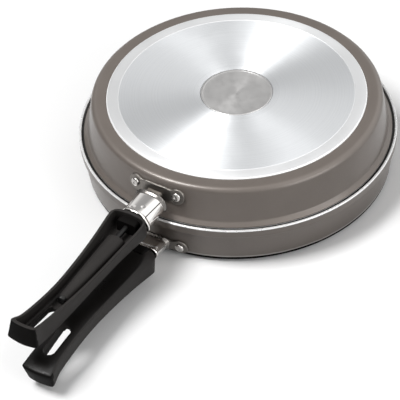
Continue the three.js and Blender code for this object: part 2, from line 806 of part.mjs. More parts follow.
const lower = pan('lower', lowerWall, lowerPanOutline());
const upper = pan('upper', upperWall, upperPanOutline());
upper.rotation.set(Math.PI, 0, fanAngle);
upper.position.z = closedHeight;

const flipPan = new THREE.Group();
flipPan.add(lower, upper);

export default flipPan;
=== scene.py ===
import bisect
import collections
import math

import bmesh
import bpy
from mathutils import Matrix, Vector


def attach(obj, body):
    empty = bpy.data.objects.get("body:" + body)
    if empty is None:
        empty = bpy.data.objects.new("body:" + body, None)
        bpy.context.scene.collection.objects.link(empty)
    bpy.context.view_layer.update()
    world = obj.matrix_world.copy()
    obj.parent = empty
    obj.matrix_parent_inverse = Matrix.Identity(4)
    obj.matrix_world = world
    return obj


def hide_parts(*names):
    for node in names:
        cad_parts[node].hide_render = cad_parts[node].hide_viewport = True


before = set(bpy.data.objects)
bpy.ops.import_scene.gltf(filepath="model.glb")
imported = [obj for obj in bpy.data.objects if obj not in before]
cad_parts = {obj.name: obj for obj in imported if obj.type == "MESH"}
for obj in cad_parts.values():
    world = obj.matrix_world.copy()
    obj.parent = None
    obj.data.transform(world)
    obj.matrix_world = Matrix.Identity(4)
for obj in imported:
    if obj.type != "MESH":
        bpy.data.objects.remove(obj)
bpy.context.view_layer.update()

# A double sided flip pan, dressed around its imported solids. Sizes are millimetres until a mesh is made.
MM = 0.001

# The set
RIM_RADIUS = 122.0
LOWER_DEPTH = 35.0
UPPER_DEPTH = 33.3
FAN_ANGLE = math.radians(1.9)
CLEARANCE = 0.3

# Rim of the lower pan and lip of the upper one; a painted highlight line in the bare rim's material runs on
# the lip between two heights, and above it the lip takes the dark lining as painted shade
RIM_LAND = 1.8
RIM_EDGE_BARE = 1.0
RIM_EDGE_ROUND = 0.36
RIM_INNER_ROUND = 0.35
RIM_BAND_HEIGHT = 6.5
RIM_BAND_STEP = 1.6
RIM_BAND_SLOPE = 1.5
RIM_BAND_ROUND = 0.8
LEDGE_DROP = 3.0
LEDGE_HOLD = 2.3
LIP_PLAY = 1.9
LIP_WALL = 2.7
LIP_HEIGHT = 2.8
LIP_FLARE = 3.1
LIP_FLARE_HEIGHT = 2.9
LIP_ROUND = 0.9
LIP_EDGE_ROUND = 0.3
LIP_PAINTED_HIGHLIGHT = (0.55, 1.15)
COVE_ROUND = 2.6

# Bodies of both pans, their plates and discs
LOWER_FOOT_RADIUS = 117.3
UPPER_FOOT_RADIUS = 110.4
WALL_THICKNESS = 3.0
FLOOR_THICKNESS = 2.1
UPPER_HEEL_ROUND = 4.8
LOWER_HEEL_ROUND = 3.6
INNER_HEEL_ROUND = 2.6
PLATE_RADIUS = 99.0
PLATE_THICKNESS = 2.6
PLATE_PROUD = 1.0
PLATE_BEVEL = 0.8
PLATE_RING = 90.0
PLATE_GROOVE = 0.12
MEDALLION_RADIUS = 27.4
MEDALLION_THICKNESS = 0.8
MEDALLION_SINK = 0.12
PAN_SIDES = 256

# Rivets: the dimple in the head and the tail are tables of shares outwards and down
RIVET_HEIGHTS = {"lower": 10.4, "upper": 11.8}
RIVET_SPACING = 34.8
RIVET_SHANK_RADIUS = 2.2
RIVET_HEAD_RADIUS = 3.5
RIVET_HEAD_HEIGHT = 1.6
RIVET_HEAD_EDGE = 0.15
RIVET_DIMPLE_RADIUS = 1.4
RIVET_DIMPLE_DEPTH = 0.5
RIVET_DIMPLE = [(1, 0), (0.75, 0.25), (0.4, 0.85), (0, 1)]
RIVET_TAIL_RADIUS = 3.4
RIVET_TAIL_HEIGHT = 1.2
RIVET_TAIL = [(0, 1), (0.7, 0.94), (0.92, 0.7), (1, 0.35), (1, 0)]

# Brackets
STRAP_THICKNESS = 1.3
STRAP_EDGE = 0.5
STRAP_HEIGHT = 10.8
STRAP_WAIST = 0.8
STRAP_COLUMNS = 96
EYELET_RADIUS = 6.2
EYELET_OPENING = math.pi * 0.68
NECK_WIDTH = 13.0
NECK_WALL = 1.3
NECK_ROUND = 1.2
NECK_PAN_MIDDLE = 13.9
NECK_PAN_HEIGHT = 4.8
NECK_GRIP_HEIGHT = 9.2
NECK_TIP_HEIGHT = 6.4
NECK_REACH = 8.0

# Ferrules: width, height and middle at each end, and shares along and outwards for the lip and the end bead
FERRULE_GAP = 6.2
FERRULE_WALL = 1.0
FERRULE_PAN = (25.0, 12.4, 15.6)
FERRULE_GRIP = (25.6, 15.2, 17.0)
FERRULE_LIP_FLARE = 1.2
FERRULE_LIP_LENGTH = 3.2
FERRULE_LIP = [(0, 1.0), (0.12, 1.02), (0.28, 0.92), (0.45, 0.62), (0.65, 0.28), (0.85, 0.07), (1, 0)]
FERRULE_BEAD = 0.6
FERRULE_BEAD_LENGTH = 2.2
FERRULE_END = [(1, 0), (0.85, 0.45), (0.65, 0.95), (0.4, 1.0), (0.15, 0.9), (0, 0.55)]
FERRULE_GROOVE = 0.35
FERRULE_STEPS = 30
DIMPLES = [(0.66, -3.4), (0.8, 3.0)]
DIMPLE_RADIUS = 1.5
DIMPLE_DEPTH = 0.45

# Outline of a ferrule from its open side to its closed side: half width at the pan, at the grip, and height
FERRULE_OUTLINE = [
    (0, 0, -1), (0.3, 0.27, -0.96), (0.6, 0.52, -0.83), (0.85, 0.72, -0.52),
    (0.93, 0.82, -0.22), (0.985, 0.92, 0.08), (1, 0.985, 0.4), (0.96, 0.96, 0.7),
    (0.78, 0.8, 0.92), (0.4, 0.42, 0.99), (0, 0, 1),
]
FERRULE_CREASE = 3

# Handles
GRIP_START = 142.6
GRIP_LENGTH = 139.1
GRIP_HALF_WIDTH = 15.0
GRIP_TOP = 27.4
GRIP_WALL = 2.1
GRIP_FACE_WALL = 3.0
GRIP_FRONT_WALL = 3.0
GRIP_END_WALL = 3.2
GRIP_FACE_ROUND = 4.0
GRIP_FACE_FLAT = 9.0
GRIP_FACE_CORNER = 0.6
GRIP_CORNER = 1.8
GRIP_INNER_CORNER = 1.4
GRIP_INNER_FILLET = 2.0
GRIP_CROWN = 0.7
GRIP_RIM_ROUND = 0.6
GRIP_SIDE_STEPS = 84
GRIP_CORNER_STEPS = 6
GRIP_END_STEPS = 12
FRONT_BOW = 3.0
FRONT_RAMP = 12.0
TAIL_BOW = 1.8
TAIL_SLOPE = 4.2
TAIL_RAMP = 18.0
TAIL_CAP = 6.5
SLOT_LENGTH = 28.0
SLOT_WIDTH = 9.4
SLOT_INSET = 28.85
SLOT_WALL = 1.6
SLOT_BEAD_HEIGHT = 1.2
SLOT_BEAD_ROUND = 0.4
SOCKET_WALL = 1.3
SOCKET_ROUND = 1.3
SLEEVE_RISE = 5.0
SLEEVE_ROUND = 2.4
SPINE_GAP = 13.0
PAD_FRONT = (14.4, 3.2)
PAD_REAR = (8.2, 1.0)

# Screws and nuts
SCREW_FRONT_HEIGHT = 17.4
SCREW_REAR_HEIGHT = 21.2
SCREW_RADIUS = 2.0
SCREW_POINT = 0.5
SCREW_HEAD_RADIUS = 3.4
SCREW_HEAD_LENGTH = 3.0
SCREW_HEAD_DEPTH = 8.0
SCREW_SLOT_WIDTH = 0.9
SCREW_SLOT_DEPTH = 1.1
NUT_ACROSS = 6.2
NUT_LENGTH = 4.2
NUT_BEVEL = 0.35

# Shape of a handle from front to tail: along, rim half width, face half width, rim height, face height, round
GRIP_SHAPE = [
    (0, 0.8, 0.8, 0.352, 0.938, 0.9),
    (0.012, 0.89, 0.9, 0.35, 0.952, 1),
    (0.03, 0.965, 0.975, 0.357, 0.958, 1),
    (0.06, 1, 1, 0.382, 0.96, 1),
    (0.1, 0.983, 0.95, 0.414, 0.955, 0.85),
    (0.16, 0.932, 0.85, 0.456, 0.943, 0.6),
    (0.235, 0.866, 0.785, 0.498, 0.936, 0.4),
    (0.423, 0.753, 0.712, 0.577, 0.964, 0.3),
    (0.611, 0.66, 0.679, 0.577, 1, 0.28),
    (0.8, 0.62, 0.7, 0.46, 0.965, 0.28),
    (0.912, 0.633, 0.735, 0.35, 0.895, 0.28),
    (1, 0.7, 0.835, 0.235, 0.76, 0.28),
]

# How far the round beside the polished face reaches in from the sides: distance along, reach
FACE_EDGE = [
    (0, 9.5), (2, 10), (3.4, 9.4), (8.4, 6.3), (12.4, 4.5),
    (16.4, 2.9), (22.4, 1.5), (32, 0.9), (80, 0.8), (GRIP_LENGTH, 0.8),
]

RIM_INNER = RIM_RADIUS - RIM_LAND
LEDGE_HEIGHT = LOWER_DEPTH - LEDGE_DROP
CLOSED_HEIGHT = LEDGE_HEIGHT + CLEARANCE + UPPER_DEPTH
LIP_RADIUS = RIM_INNER - LIP_PLAY
LIP_FOOT = UPPER_DEPTH - LIP_HEIGHT
LEDGE_INNER = LIP_RADIUS - LEDGE_HOLD
COVE_RADIUS = LIP_RADIUS - LIP_FLARE
COVE_HEIGHT = LIP_FOOT - LIP_FLARE_HEIGHT
POCKET_RADIUS = PLATE_RADIUS + CLEARANCE
POCKET_TOP = PLATE_THICKNESS + CLEARANCE
FLOOR_TOP = POCKET_TOP + FLOOR_THICKNESS
GRIP_END = GRIP_START + GRIP_LENGTH
SLOT_CENTRE = GRIP_END - SLOT_INSET
SLOT_FRONT = SLOT_CENTRE - SLOT_LENGTH / 2
SCREW_SLOPE = (SCREW_REAR_HEIGHT - SCREW_FRONT_HEIGHT) / (SLOT_FRONT - GRIP_START)
NECK_END = GRIP_START + NECK_REACH
NUT_START = NECK_END - NECK_WALL - CLEARANCE - NUT_LENGTH
SPINE_START = NECK_END + SPINE_GAP

# Outer and inner line of each pan's wall, from foot to top
WALLS = {
    "lower": {
        "outer": (
            (LOWER_FOOT_RADIUS, PLATE_PROUD),
            (RIM_RADIUS - RIM_BAND_STEP, LOWER_DEPTH - RIM_BAND_HEIGHT - RIM_BAND_SLOPE),
        ),
        "inner": ((LOWER_FOOT_RADIUS - WALL_THICKNESS, FLOOR_TOP), (LEDGE_INNER, LEDGE_HEIGHT)),
    },
    "upper": {
        "outer": ((UPPER_FOOT_RADIUS, PLATE_PROUD), (COVE_RADIUS, COVE_HEIGHT)),
        "inner": (
            (UPPER_FOOT_RADIUS - WALL_THICKNESS, FLOOR_TOP),
            (COVE_RADIUS - WALL_THICKNESS, COVE_HEIGHT),
        ),
    },
}

# Where each set stands; its pieces are made base down, with the handle along +X
PLACES = {
    "lower": Matrix.Identity(4),
    "upper": Matrix.Translation((0, 0, CLOSED_HEIGHT))
    @ Matrix.Rotation(math.pi, 4, "X")
    @ Matrix.Rotation(FAN_ANGLE, 4, "Z"),
}
HANDS = {"left": 1, "right": -1}


def lerp(a, b, share):
    return a + (b - a) * share


def smoothstep(x, low, high):
    t = min(max((x - low) / (high - low), 0.0), 1.0)
    return t * t * (3 - 2 * t)


def spline(table, row, share):
    """Smooth value between the rows of a table, flat in curvature at its ends."""
    i = min(max(bisect.bisect_right([entry[0] for entry in table], share), 1), len(table) - 1)
    before = table[i - 2] if i > 1 else table[i]
    after = table[i + 1] if i + 1 < len(table) else table[i - 1]
    tp, t0, t1, tn = (entry[0] for entry in (before, table[i - 1], table[i], after))
    vp, v0, v1, vn = (entry[row] for entry in (before, table[i - 1], table[i], after))
    half = (t1 - t0) / 2
    wp, wn = half / (t0 - tp), half / (tn - t1)
    p = (share - t0) / (t1 - t0)
    ease = p * (0.5 + p * (1.5 - p))
    return lerp(v0, v1, ease) + wp * p * (1 - p) ** 2 * (v0 - vp) + wn * p * p * (p - 1) * (vn - v1)


def quarter(share):
    """How far a quarter round has come in from its start, and how far it still has to go up."""
    angle = math.pi / 2 * share
    return 1 - math.cos(angle), 1 - math.sin(angle)


def quarters(steps):
    return [quarter(k / steps) for k in range(steps + 1)]


def wall_radius(side, height, line="outer"):
    (r0, z0), (r1, z1) = WALLS[side][line]
    return r0 + (r1 - r0) * (height - z0) / (z1 - z0)


# ---- mesh helpers ----


def mesh_from(name, points, faces, marks=None):
    """A mesh in metres with its faces turned outwards; marks gives each face its material index."""
    build = bmesh.new()
    verts = [build.verts.new(Vector(p) * MM) for p in points]
    for i, loop in enumerate(faces):
        face = build.faces.new([verts[k] for k in loop])
        face.smooth = True
        face.material_index = marks[i] if marks else 0
    bmesh.ops.remove_doubles(build, verts=build.verts, dist=1e-6)
    bmesh.ops.dissolve_degenerate(build, edges=build.edges, dist=1e-7)
    bmesh.ops.recalc_face_normals(build, faces=build.faces)
    mesh = bpy.data.meshes.new(name)
    build.to_mesh(mesh)
    build.free()
    return mesh


def scratch(name, mesh, *materials):
    for material in materials:
        mesh.materials.append(material)
    obj = bpy.data.objects.new(name, mesh)
    bpy.context.scene.collection.objects.link(obj)
    return obj


def combined(obj, added, cut):
    """Joins the added meshes to an object and then cuts the others away."""
    tools = []
    for mesh, operation in [(m, "UNION") for m in added] + [(m, "DIFFERENCE") for m in cut]:
        tools.append(scratch("tool", mesh))
        step = obj.modifiers.new(operation.lower(), "BOOLEAN")
        step.operation, step.object, step.solver = operation, tools[-1], "EXACT"
    bpy.context.view_layer.update()
    graph = bpy.context.evaluated_depsgraph_get()
    used = [obj.data] + [tool.data for tool in tools]
    result = bpy.data.meshes.new_from_object(obj.evaluated_get(graph))
    obj.modifiers.clear()
    obj.data = result
    for tool in tools:
        bpy.data.objects.remove(tool)
    for mesh in used:
        bpy.data.meshes.remove(mesh)


def moved(points, place):
    return [tuple(place @ Vector(p)) for p in points]


def turned(name, profile, sides, marks=None, place=None):
    """A closed mesh turned from a profile that starts and ends on the axis.

    The axis is Z, or, with a place, the X axis of that place.
    """
    points, rows = [], []
    for radius, height in profile:
        count = sides if radius > 0 else 1
        rows.append([len(points) + k for k in range(count)])
        for k in range(count):
            angle = 2 * math.pi * k / sides
            points.append((radius * math.cos(angle), radius * math.sin(angle), height))
    faces, face_marks = [], []
    for i, (a, b) in enumerate(zip(rows, rows[1:])):
        for k in range(sides):
            after = (k + 1) % sides
            loop = (a[k % len(a)], b[k % len(b)], b[after % len(b)], a[after % len(a)])
            faces.append(tuple(dict.fromkeys(loop)))
            face_marks.append(marks[i] if marks else 0)
    if place:
        points = moved([(z, y, -x) for x, y, z in points], place)
    return mesh_from(name, points, faces, face_marks)


def bar(radius, start, end, place):
    """A bar along the X axis of a place."""
    return turned("bar", [(0, start), (radius, start), (radius, end), (0, end)], 32, place=place)


def skin(rings, caps=True):
    """Points and faces of a skin over closed rings with the same number of points."""
    count = len(rings[0])
    points = [p for ring in rings for p in ring]
    faces = []
    for i in range(len(rings) - 1):
        for k in range(count):
            a, b = i * count + k, i * count + (k + 1) % count
            faces.append((a, b, b + count, a + count))
    if caps:
        faces.append(tuple(range(count)))
        faces.append(tuple(range(len(points) - count, len(points))))
    return points, faces


def outline(corners, steps=6, limit=6.0):
    """An outline through corners of radius and height, with its long straight runs split.

    A corner can add its round and its mark; the arc there and the run that follows have its mark.
    """
    points, marks = [], []
    for i, corner in enumerate(corners):
        x, y, radius, mark = (*corner, 0, 0)[:4]
        if not radius:
            points.append((x, y))
            marks.append(mark)
            continue
        at = Vector((x, y))
        before = Vector(corners[i - 1][:2]) - at
        after = Vector(corners[i + 1][:2]) - at
        half = before.angle(after) / 2
        reach = min(radius / math.tan(half), min(before.length, after.length) * 0.45)
        before.normalize()
        after.normalize()
        middle = at + (before + after).normalized() * (reach / math.cos(half))
        start, end = at + before * reach - middle, at + after * reach - middle
        sweep = math.copysign(math.pi - 2 * half, start.x * end.y - start.y * end.x)
        turns = [Matrix.Rotation(sweep * step / steps, 2) for step in range(steps + 1)]
        points += [tuple(middle + turn @ start) for turn in turns]
        marks += [mark] * len(turns)
    even, even_marks = [], []
    for a, b, mark in zip(points, points[1:], marks):
        parts = max(1, math.ceil(math.dist(a, b) / limit))
        even += [(lerp(a[0], b[0], k / parts), lerp(a[1], b[1], k / parts)) for k in range(parts)]
        even_marks += [mark] * parts
    return even + [points[-1]], even_marks


def piece(side, name, mesh, looks, node, sharp=32.0, added=(), cut=()):
    """Makes a piece in its place, gives it its body, and hides the imported part that it stands for."""
    obj = scratch(f"{side}_{name}", mesh, *looks)
    if added or cut:
        combined(obj, added, cut)
    place = PLACES[side]
    obj.data.transform(Matrix.Translation(place.translation * MM) @ place.to_3x3().to_4x4())
    obj.data.set_sharp_from_angle(angle=math.radians(sharp))
    obj.data.update()
    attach(obj, f"{side}_set")
    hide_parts(f"{side}_{node}")


# ---- materials ----


class Nodes:
    """Short names for the calls that every node tree here uses."""

    def __init__(self, tree):
        self.tree = tree

    def node(self, kind, inputs=(), **settings):
        made = self.tree.nodes.new(kind)
        for name, value in settings.items():
            setattr(made, name, value)
        for key, value in dict(inputs).items():
            self.set(made.inputs[key], value)
        return made

    def set(self, socket, value):
        if hasattr(value, "is_output"):
            self.tree.links.new(value, socket)
        else:
            socket.default_value = value

    def math(self, operation, a, b=0.0):
        return self.node("ShaderNodeMath", {0: a, 1: b}, operation=operation).outputs[0]

    def times(self, a, b):
        return self.math("MULTIPLY", a, b)

    def ranged(self, value, low, high, first, last, **settings):
        inputs = {"Value": value, "From Min": low, "From Max": high, "To Min": first, "To Max": last}
        return self.node("ShaderNodeMapRange", inputs, **settings).outputs[0]


class Looks(Nodes):
    """A material under construction; its sockets are named with underscores for spaces."""

    def __init__(self, name, **sockets):
        self.material = bpy.data.materials.new(name)
        self.material.use_nodes = True
        super().__init__(self.material.node_tree)
        self.shader = self.tree.nodes["Principled BSDF"]
        self.use(**sockets)
        self.place = self.node("ShaderNodeTexCoord").outputs["Object"]

    def use(self, **sockets):
        for name, value in sockets.items():
            self.set(self.shader.inputs[name.replace("_", " ")], value)
        return self.material

    def stretched(self, scale):
        return self.node("ShaderNodeMapping", {"Scale": scale, "Vector": self.place}).outputs[0]

    def noise(self, scale, detail=2.0, roughness=0.5, at=None):
        inputs = {"Vector": at or self.place, "Scale": scale, "Detail": detail, "Roughness": roughness}
        return self.node("ShaderNodeTexNoise", inputs).outputs["Fac"]

    def fade(self, share, first, last):
        return self.ranged(share, 0.0, 1.0, first, last)

    def blend(self, share, a, b):
        return self.node("ShaderNodeMix", {"Factor": share, 6: a, 7: b}, data_type="RGBA").outputs[2]

    def ramp(self, share, first, last, low=0.3, high=0.7):
        made = self.node("ShaderNodeValToRGB", {"Fac": share})
        for element, at, colour in zip(made.color_ramp.elements, (low, high), (first, last)):
            element.position, element.color = at, colour
        return made.outputs["Color"]

    def axis(self, number):
        return self.node("ShaderNodeSeparateXYZ", {0: self.place}).outputs[number]

    def radius(self):
        """Distance from the pans' axis, in metres."""
        x, y = self.axis(0), self.axis(1)
        return self.math("SQRT", self.math("ADD", self.times(x, x), self.times(y, y)))

    def rings(self, pitch, detail):
        """A value that changes only with the distance from the axis, as turning marks do."""
        along = self.node("ShaderNodeCombineXYZ", {0: self.times(self.radius(), 1.0 / pitch)})
        return self.noise(1.0, detail, 0.6, at=along.outputs[0])

    def around(self):
        """The tangent along turning marks."""
        return self.node("ShaderNodeTangent", direction_type="RADIAL", axis="Z").outputs[0]

    def bump(self, height, distance, strength=1.0):
        inputs = {"Height": height, "Distance": distance, "Strength": strength}
        return self.node("ShaderNodeBump", inputs).outputs["Normal"]


def grey(value, warm=0.0):
    return (value * (1 + warm), value, value * (1 - warm), 1.0)


def taupe_material():
    """Satin taupe coating, painted black at the foot of the heel as a painted contact shadow, with a painted
    highlight in a pale band just above it.
    """
    looks = Looks("taupe_coating", Coat_Roughness=0.16)
    broad = looks.noise(26, 3)
    speck = looks.noise(2600, 2, 0.6)
    edge = looks.math("ADD", looks.axis(2), looks.times(looks.noise(160, 3), 0.0008))
    # Black without shine below the heel's lowest millimetres: a painted contact shadow.
    above_painted_shadow = looks.ranged(edge, 0.0052, 0.0058, 0.0, 1.0)
    # A pale band just above it stands in for the heel's highlight: a painted highlight.
    painted_heel_highlight = looks.times(above_painted_shadow, looks.ranged(edge, 0.006, 0.0072, 0.8, 0.0))
    base = looks.ramp(broad, (0.14, 0.119, 0.104, 1), (0.158, 0.135, 0.119, 1))
    coated = looks.blend(looks.ranged(speck, 0.6, 0.72, 0.0, 0.3), base, (0.25, 0.222, 0.2, 1))
    coated = looks.blend(painted_heel_highlight, coated, (0.5, 0.48, 0.46, 1))
    scuffs = looks.ranged(looks.noise(180, 5, 0.7, at=looks.stretched((1, 1, 9))), 0.3, 0.75, 0.36, 0.46)
    return looks.use(
        Base_Color=looks.blend(above_painted_shadow, (0.006, 0.005, 0.005, 1), coated),
        Metallic=looks.fade(above_painted_shadow, 0.0, 0.25),
        Specular_IOR_Level=looks.fade(above_painted_shadow, 0.0, 0.36),
        Coat_Weight=looks.fade(above_painted_shadow, 0.0, 0.34),
        Roughness=looks.math("MAXIMUM", scuffs, looks.fade(above_painted_shadow, 0.9, 0.0)),
        Normal=looks.bump(speck, 0.00002, 0.5),
    )


def nonstick_material():
    looks = Looks("nonstick_lining", Metallic=0.0, Specular_IOR_Level=0.4)
    speck = looks.noise(3200, 2, 0.6)
    flake = looks.ranged(speck, 0.64, 0.74, 0.0, 0.3)
    marks = looks.noise(900, 1, 0.5, at=looks.stretched((0.02, 0.02, 1)))
    return looks.use(
        Base_Color=looks.blend(flake, (0.014, 0.013, 0.012, 1), (0.09, 0.085, 0.08, 1)),
        Roughness=looks.ranged(marks, 0.3, 0.7, 0.34, 0.44),
        Normal=looks.bump(speck, 0.00003, 0.5),
    )


def bare_rim_material():
    looks = Looks("bare_rim", Metallic=0.55, Specular_IOR_Level=0.6)
    return looks.use(
        Base_Color=looks.ramp(looks.rings(0.00025, 2), grey(0.86), grey(0.95)),
        Roughness=looks.ranged(looks.noise(90, 3), 0.3, 0.7, 0.2, 0.32),
    )


def plate_material():
    """Turned aluminium: a marked middle, a smooth ring round it, and a bright cut edge."""
    looks = Looks("turned_aluminium", Anisotropic_Rotation=0.25)
    radius = looks.radius()
    smooth_ring = looks.ranged(radius, 0.0893, 0.0897, 0.0, 1.0)
    cut_edge = looks.ranged(radius, 0.0981, 0.0983, 0.0, 1.0)
    fine, coarse = looks.rings(0.00022, 3), looks.rings(0.0011, 2)
    marks = looks.math("ADD", looks.times(fine, 0.6), looks.times(coarse, 0.4))
    tone = looks.ramp(marks, grey(0.71, -0.018), grey(0.82, -0.018), 0.34, 0.62)
    tone = looks.blend(smooth_ring, tone, grey(0.78, -0.006))
    smudge = looks.ranged(looks.noise(34, 4, 0.6), 0.4, 0.8, 0.0, 0.06)
    return looks.use(
        Base_Color=looks.blend(cut_edge, tone, grey(0.96)),
        Metallic=looks.fade(cut_edge, 1.0, 0.2),
        Anisotropic=looks.fade(smooth_ring, 0.86, 0.5),
        Roughness=looks.math("ADD", looks.ranged(marks, 0.35, 0.65, 0.44, 0.53), smudge),
        Normal=looks.bump(looks.times(marks, looks.fade(smooth_ring, 1.0, 0.25)), 0.00004, 0.4),
        Tangent=looks.around(),
    )


def medallion_material():
    looks = Looks("satin_disc", Metallic=1.0, Anisotropic=0.5, Anisotropic_Rotation=0.25)
    fine = looks.rings(0.00018, 3)
    return looks.use(
        Base_Color=looks.ramp(fine, grey(0.52, 0.012), grey(0.6, 0.012)),
        Roughness=looks.ranged(looks.noise(120, 4, 0.6), 0.3, 0.7, 0.36, 0.46),
        Normal=looks.bump(fine, 0.00003, 0.4),
        Tangent=looks.around(),
    )


def steel_material(name, low, high, tone, warm=0.012):
    """Steel of a roughness from low to high, brushed along the handle."""
    looks = Looks(name, Metallic=1.0)
    brushed = looks.noise(420, 4, 0.6, at=looks.stretched((0.08, 1, 1)))
    cloud = looks.noise(60, 3, 0.5)
    mixed = looks.math("ADD", looks.times(brushed, 0.6), looks.times(cloud, 0.4))
    return looks.use(
        Base_Color=looks.ramp(mixed, grey(tone * 0.9, warm), grey(tone, warm)),
        Roughness=looks.ranged(mixed, 0.35, 0.65, low, high),
        Normal=looks.bump(brushed, 0.00001, 0.25),
    )


def polished_bakelite():
    looks = Looks("polished_moulding", Metallic=0.0, Specular_IOR_Level=0.22)
    grain = looks.noise(900, 3, 0.6)
    flow = looks.noise(40, 3, 0.55, at=looks.stretched((0.35, 1, 1)))
    worn, pores = looks.ranged(flow, 0.35, 0.7, 0.26, 0.34), looks.ranged(grain, 0.3, 0.8, 0.0, 0.05)
    return looks.use(
        Base_Color=looks.ramp(flow, (0.0062, 0.0055, 0.005, 1), (0.0105, 0.0094, 0.0088, 1)),
        Roughness=looks.math("ADD", worn, pores),
        Normal=looks.bump(grain, 0.00003, 0.3),
    )


def satin_bakelite(name, shade, gloss):
    looks = Looks(name, Metallic=0.0, Specular_IOR_Level=gloss)
    flow = looks.noise(70, 4, 0.6, at=looks.stretched((0.25, 1, 1)))
    dark = (shade, shade * 0.89, shade * 0.84, 1)
    worn = (shade * 1.45, shade * 1.33, shade * 1.26, 1)
    return looks.use(
        Base_Color=looks.ramp(flow, dark, worn),
        Roughness=looks.ranged(flow, 0.3, 0.7, 0.48, 0.58),
        Normal=looks.bump(looks.noise(1500, 3, 0.65), 0.00006, 0.6),
    )


TAUPE = taupe_material()
NONSTICK = nonstick_material()
BARE_RIM = bare_rim_material()
PLATE = plate_material()
DISC = medallion_material()
STEEL = steel_material("polished_steel", 0.06, 0.12, 0.74, 0.03)
# Near-black steel for the faces along the ferrule's crease: painted shade in the crease.
CREASE_SHADE_STEEL = steel_material("crease_painted_shade", 0.3, 0.4, 0.06)
STRAP_STEEL = steel_material("pressed_steel", 0.34, 0.44, 0.19, 0.08)
# A much darker copy of the ferrule's steel for its flared lip: painted shade.
LIP_SHADE_STEEL = steel_material("lip_painted_shade", 0.2, 0.3, 0.16, 0.06)
RIVET_STEEL = steel_material("rivet_steel", 0.12, 0.2, 0.5, 0.04)
# Near-black steel for the screws and nuts inside the handles: painted shade of the deep pocket.
SCREW_SHADE_STEEL = steel_material("dull_steel_painted_shade", 0.45, 0.55, 0.03)
SATIN = satin_bakelite("satin_moulding", 0.018, 0.15)
# A near-black copy of the moulding for the tail's end and the sleeve in the pocket: painted shade.
SHADE_MOULDING = satin_bakelite("matt_moulding_painted_shade", 0.004, 0.04)
POLISHED = polished_bakelite()


# ---- pans, plates and discs ----


# Material indices on a pan, in the order in which make_pan gives it its materials
OUTSIDE, RIM, INSIDE = 0, 1, 2

# Each pan's outside from the heel to the inner edge of its rim or lip
EDGES = {
    "lower": [
        (LOWER_FOOT_RADIUS, PLATE_PROUD, LOWER_HEEL_ROUND),
        (*WALLS["lower"]["outer"][1], RIM_BAND_ROUND),
        (RIM_RADIUS, LOWER_DEPTH - RIM_BAND_HEIGHT, RIM_BAND_ROUND),
        (RIM_RADIUS, LOWER_DEPTH - RIM_EDGE_BARE, 0, RIM),
        (RIM_RADIUS, LOWER_DEPTH, RIM_EDGE_ROUND, RIM),
        (RIM_INNER, LOWER_DEPTH, RIM_INNER_ROUND, RIM),
        (RIM_INNER, LEDGE_HEIGHT, 0, INSIDE),
    ],
    "upper": [
        (UPPER_FOOT_RADIUS, PLATE_PROUD, UPPER_HEEL_ROUND),
        (COVE_RADIUS, COVE_HEIGHT, COVE_ROUND),
        (LIP_RADIUS, LIP_FOOT, LIP_ROUND),
        # On the lip's outer face: a pale painted highlight line, then the dark lining above it as painted
        # shade in the gap.
        (LIP_RADIUS, LIP_FOOT + LIP_PAINTED_HIGHLIGHT[0], 0, RIM),
        (LIP_RADIUS, LIP_FOOT + LIP_PAINTED_HIGHLIGHT[1], 0, INSIDE),
        (LIP_RADIUS, UPPER_DEPTH, LIP_EDGE_ROUND, INSIDE),
        (LIP_RADIUS - LIP_WALL, UPPER_DEPTH, LIP_EDGE_ROUND, INSIDE),
        (LIP_RADIUS - LIP_WALL, LIP_FOOT, 0, INSIDE),
    ],
}


def make_pan(side):
    inner_foot, inner_top = WALLS[side]["inner"]
    profile, marks = outline([
        (0, POCKET_TOP),
        (POCKET_RADIUS, POCKET_TOP),
        (POCKET_RADIUS, PLATE_PROUD),
        *EDGES[side],
        (*inner_top, 0, INSIDE),
        (*inner_foot, INNER_HEEL_ROUND, INSIDE),
        (0, FLOOR_TOP, 0, INSIDE),
    ])
    mesh = turned("pan", profile, PAN_SIDES, marks)
    piece(side, "pan_body", mesh, [TAUPE, BARE_RIM, NONSTICK], "pan", cut=rivet_bars(side))


def make_plate(side):
    recess = MEDALLION_RADIUS + CLEARANCE
    deep = MEDALLION_THICKNESS + CLEARANCE
    profile, _ = outline([
        (0, deep),
        (recess, deep),
        (recess, 0, 0.25),
        (PLATE_RING - 0.5, 0),
        (PLATE_RING - 0.25, PLATE_GROOVE),
        (PLATE_RING, 0),
        (PLATE_RADIUS - PLATE_BEVEL, 0, 0.2),
        (PLATE_RADIUS, PLATE_BEVEL, 0.2),
        (PLATE_RADIUS, PLATE_THICKNESS),
        (0, PLATE_THICKNESS),
    ], 3)
    mesh = turned("plate", profile, PAN_SIDES)
    piece(side, "turned_plate", mesh, [PLATE], "base_plate", 20.0)


def make_medallion(side):
    profile, _ = outline([
        (0, MEDALLION_SINK),
        (MEDALLION_RADIUS - 2.0, MEDALLION_SINK, 0.1),
        (MEDALLION_RADIUS - 1.7, 0, 0.1),
        (MEDALLION_RADIUS - 0.3, 0, 0.15),
        (MEDALLION_RADIUS, 0.3, 0.15),
        (MEDALLION_RADIUS, MEDALLION_THICKNESS),
        (0, MEDALLION_THICKNESS),
    ], 3, 4.0)
    mesh = turned("disc", profile, PAN_SIDES // 2)
    piece(side, "centre_disc", mesh, [DISC], "medallion", 20.0)


# ---- rivets ----


def rivet_place(side, hand):
    (foot_r, foot_z), (top_r, top_z) = WALLS[side]["outer"]
    height = RIVET_HEIGHTS[side]
    radius = wall_radius(side, height)
    return (
        Matrix.Rotation(math.asin(HANDS[hand] * RIVET_SPACING / 2 / radius), 4, "Z")
        @ Matrix.Translation((radius, 0, height))
        @ Matrix.Rotation(math.atan2(top_r - foot_r, top_z - foot_z), 4, "Y")
    )


def rivet_bars(side):
    """Bars that cut the rivets' holes."""
    reach = WALL_THICKNESS + STRAP_THICKNESS + RIVET_TAIL_RADIUS
    radius = RIVET_SHANK_RADIUS + CLEARANCE
    return [bar(radius, -reach, reach, rivet_place(side, hand)) for hand in HANDS]


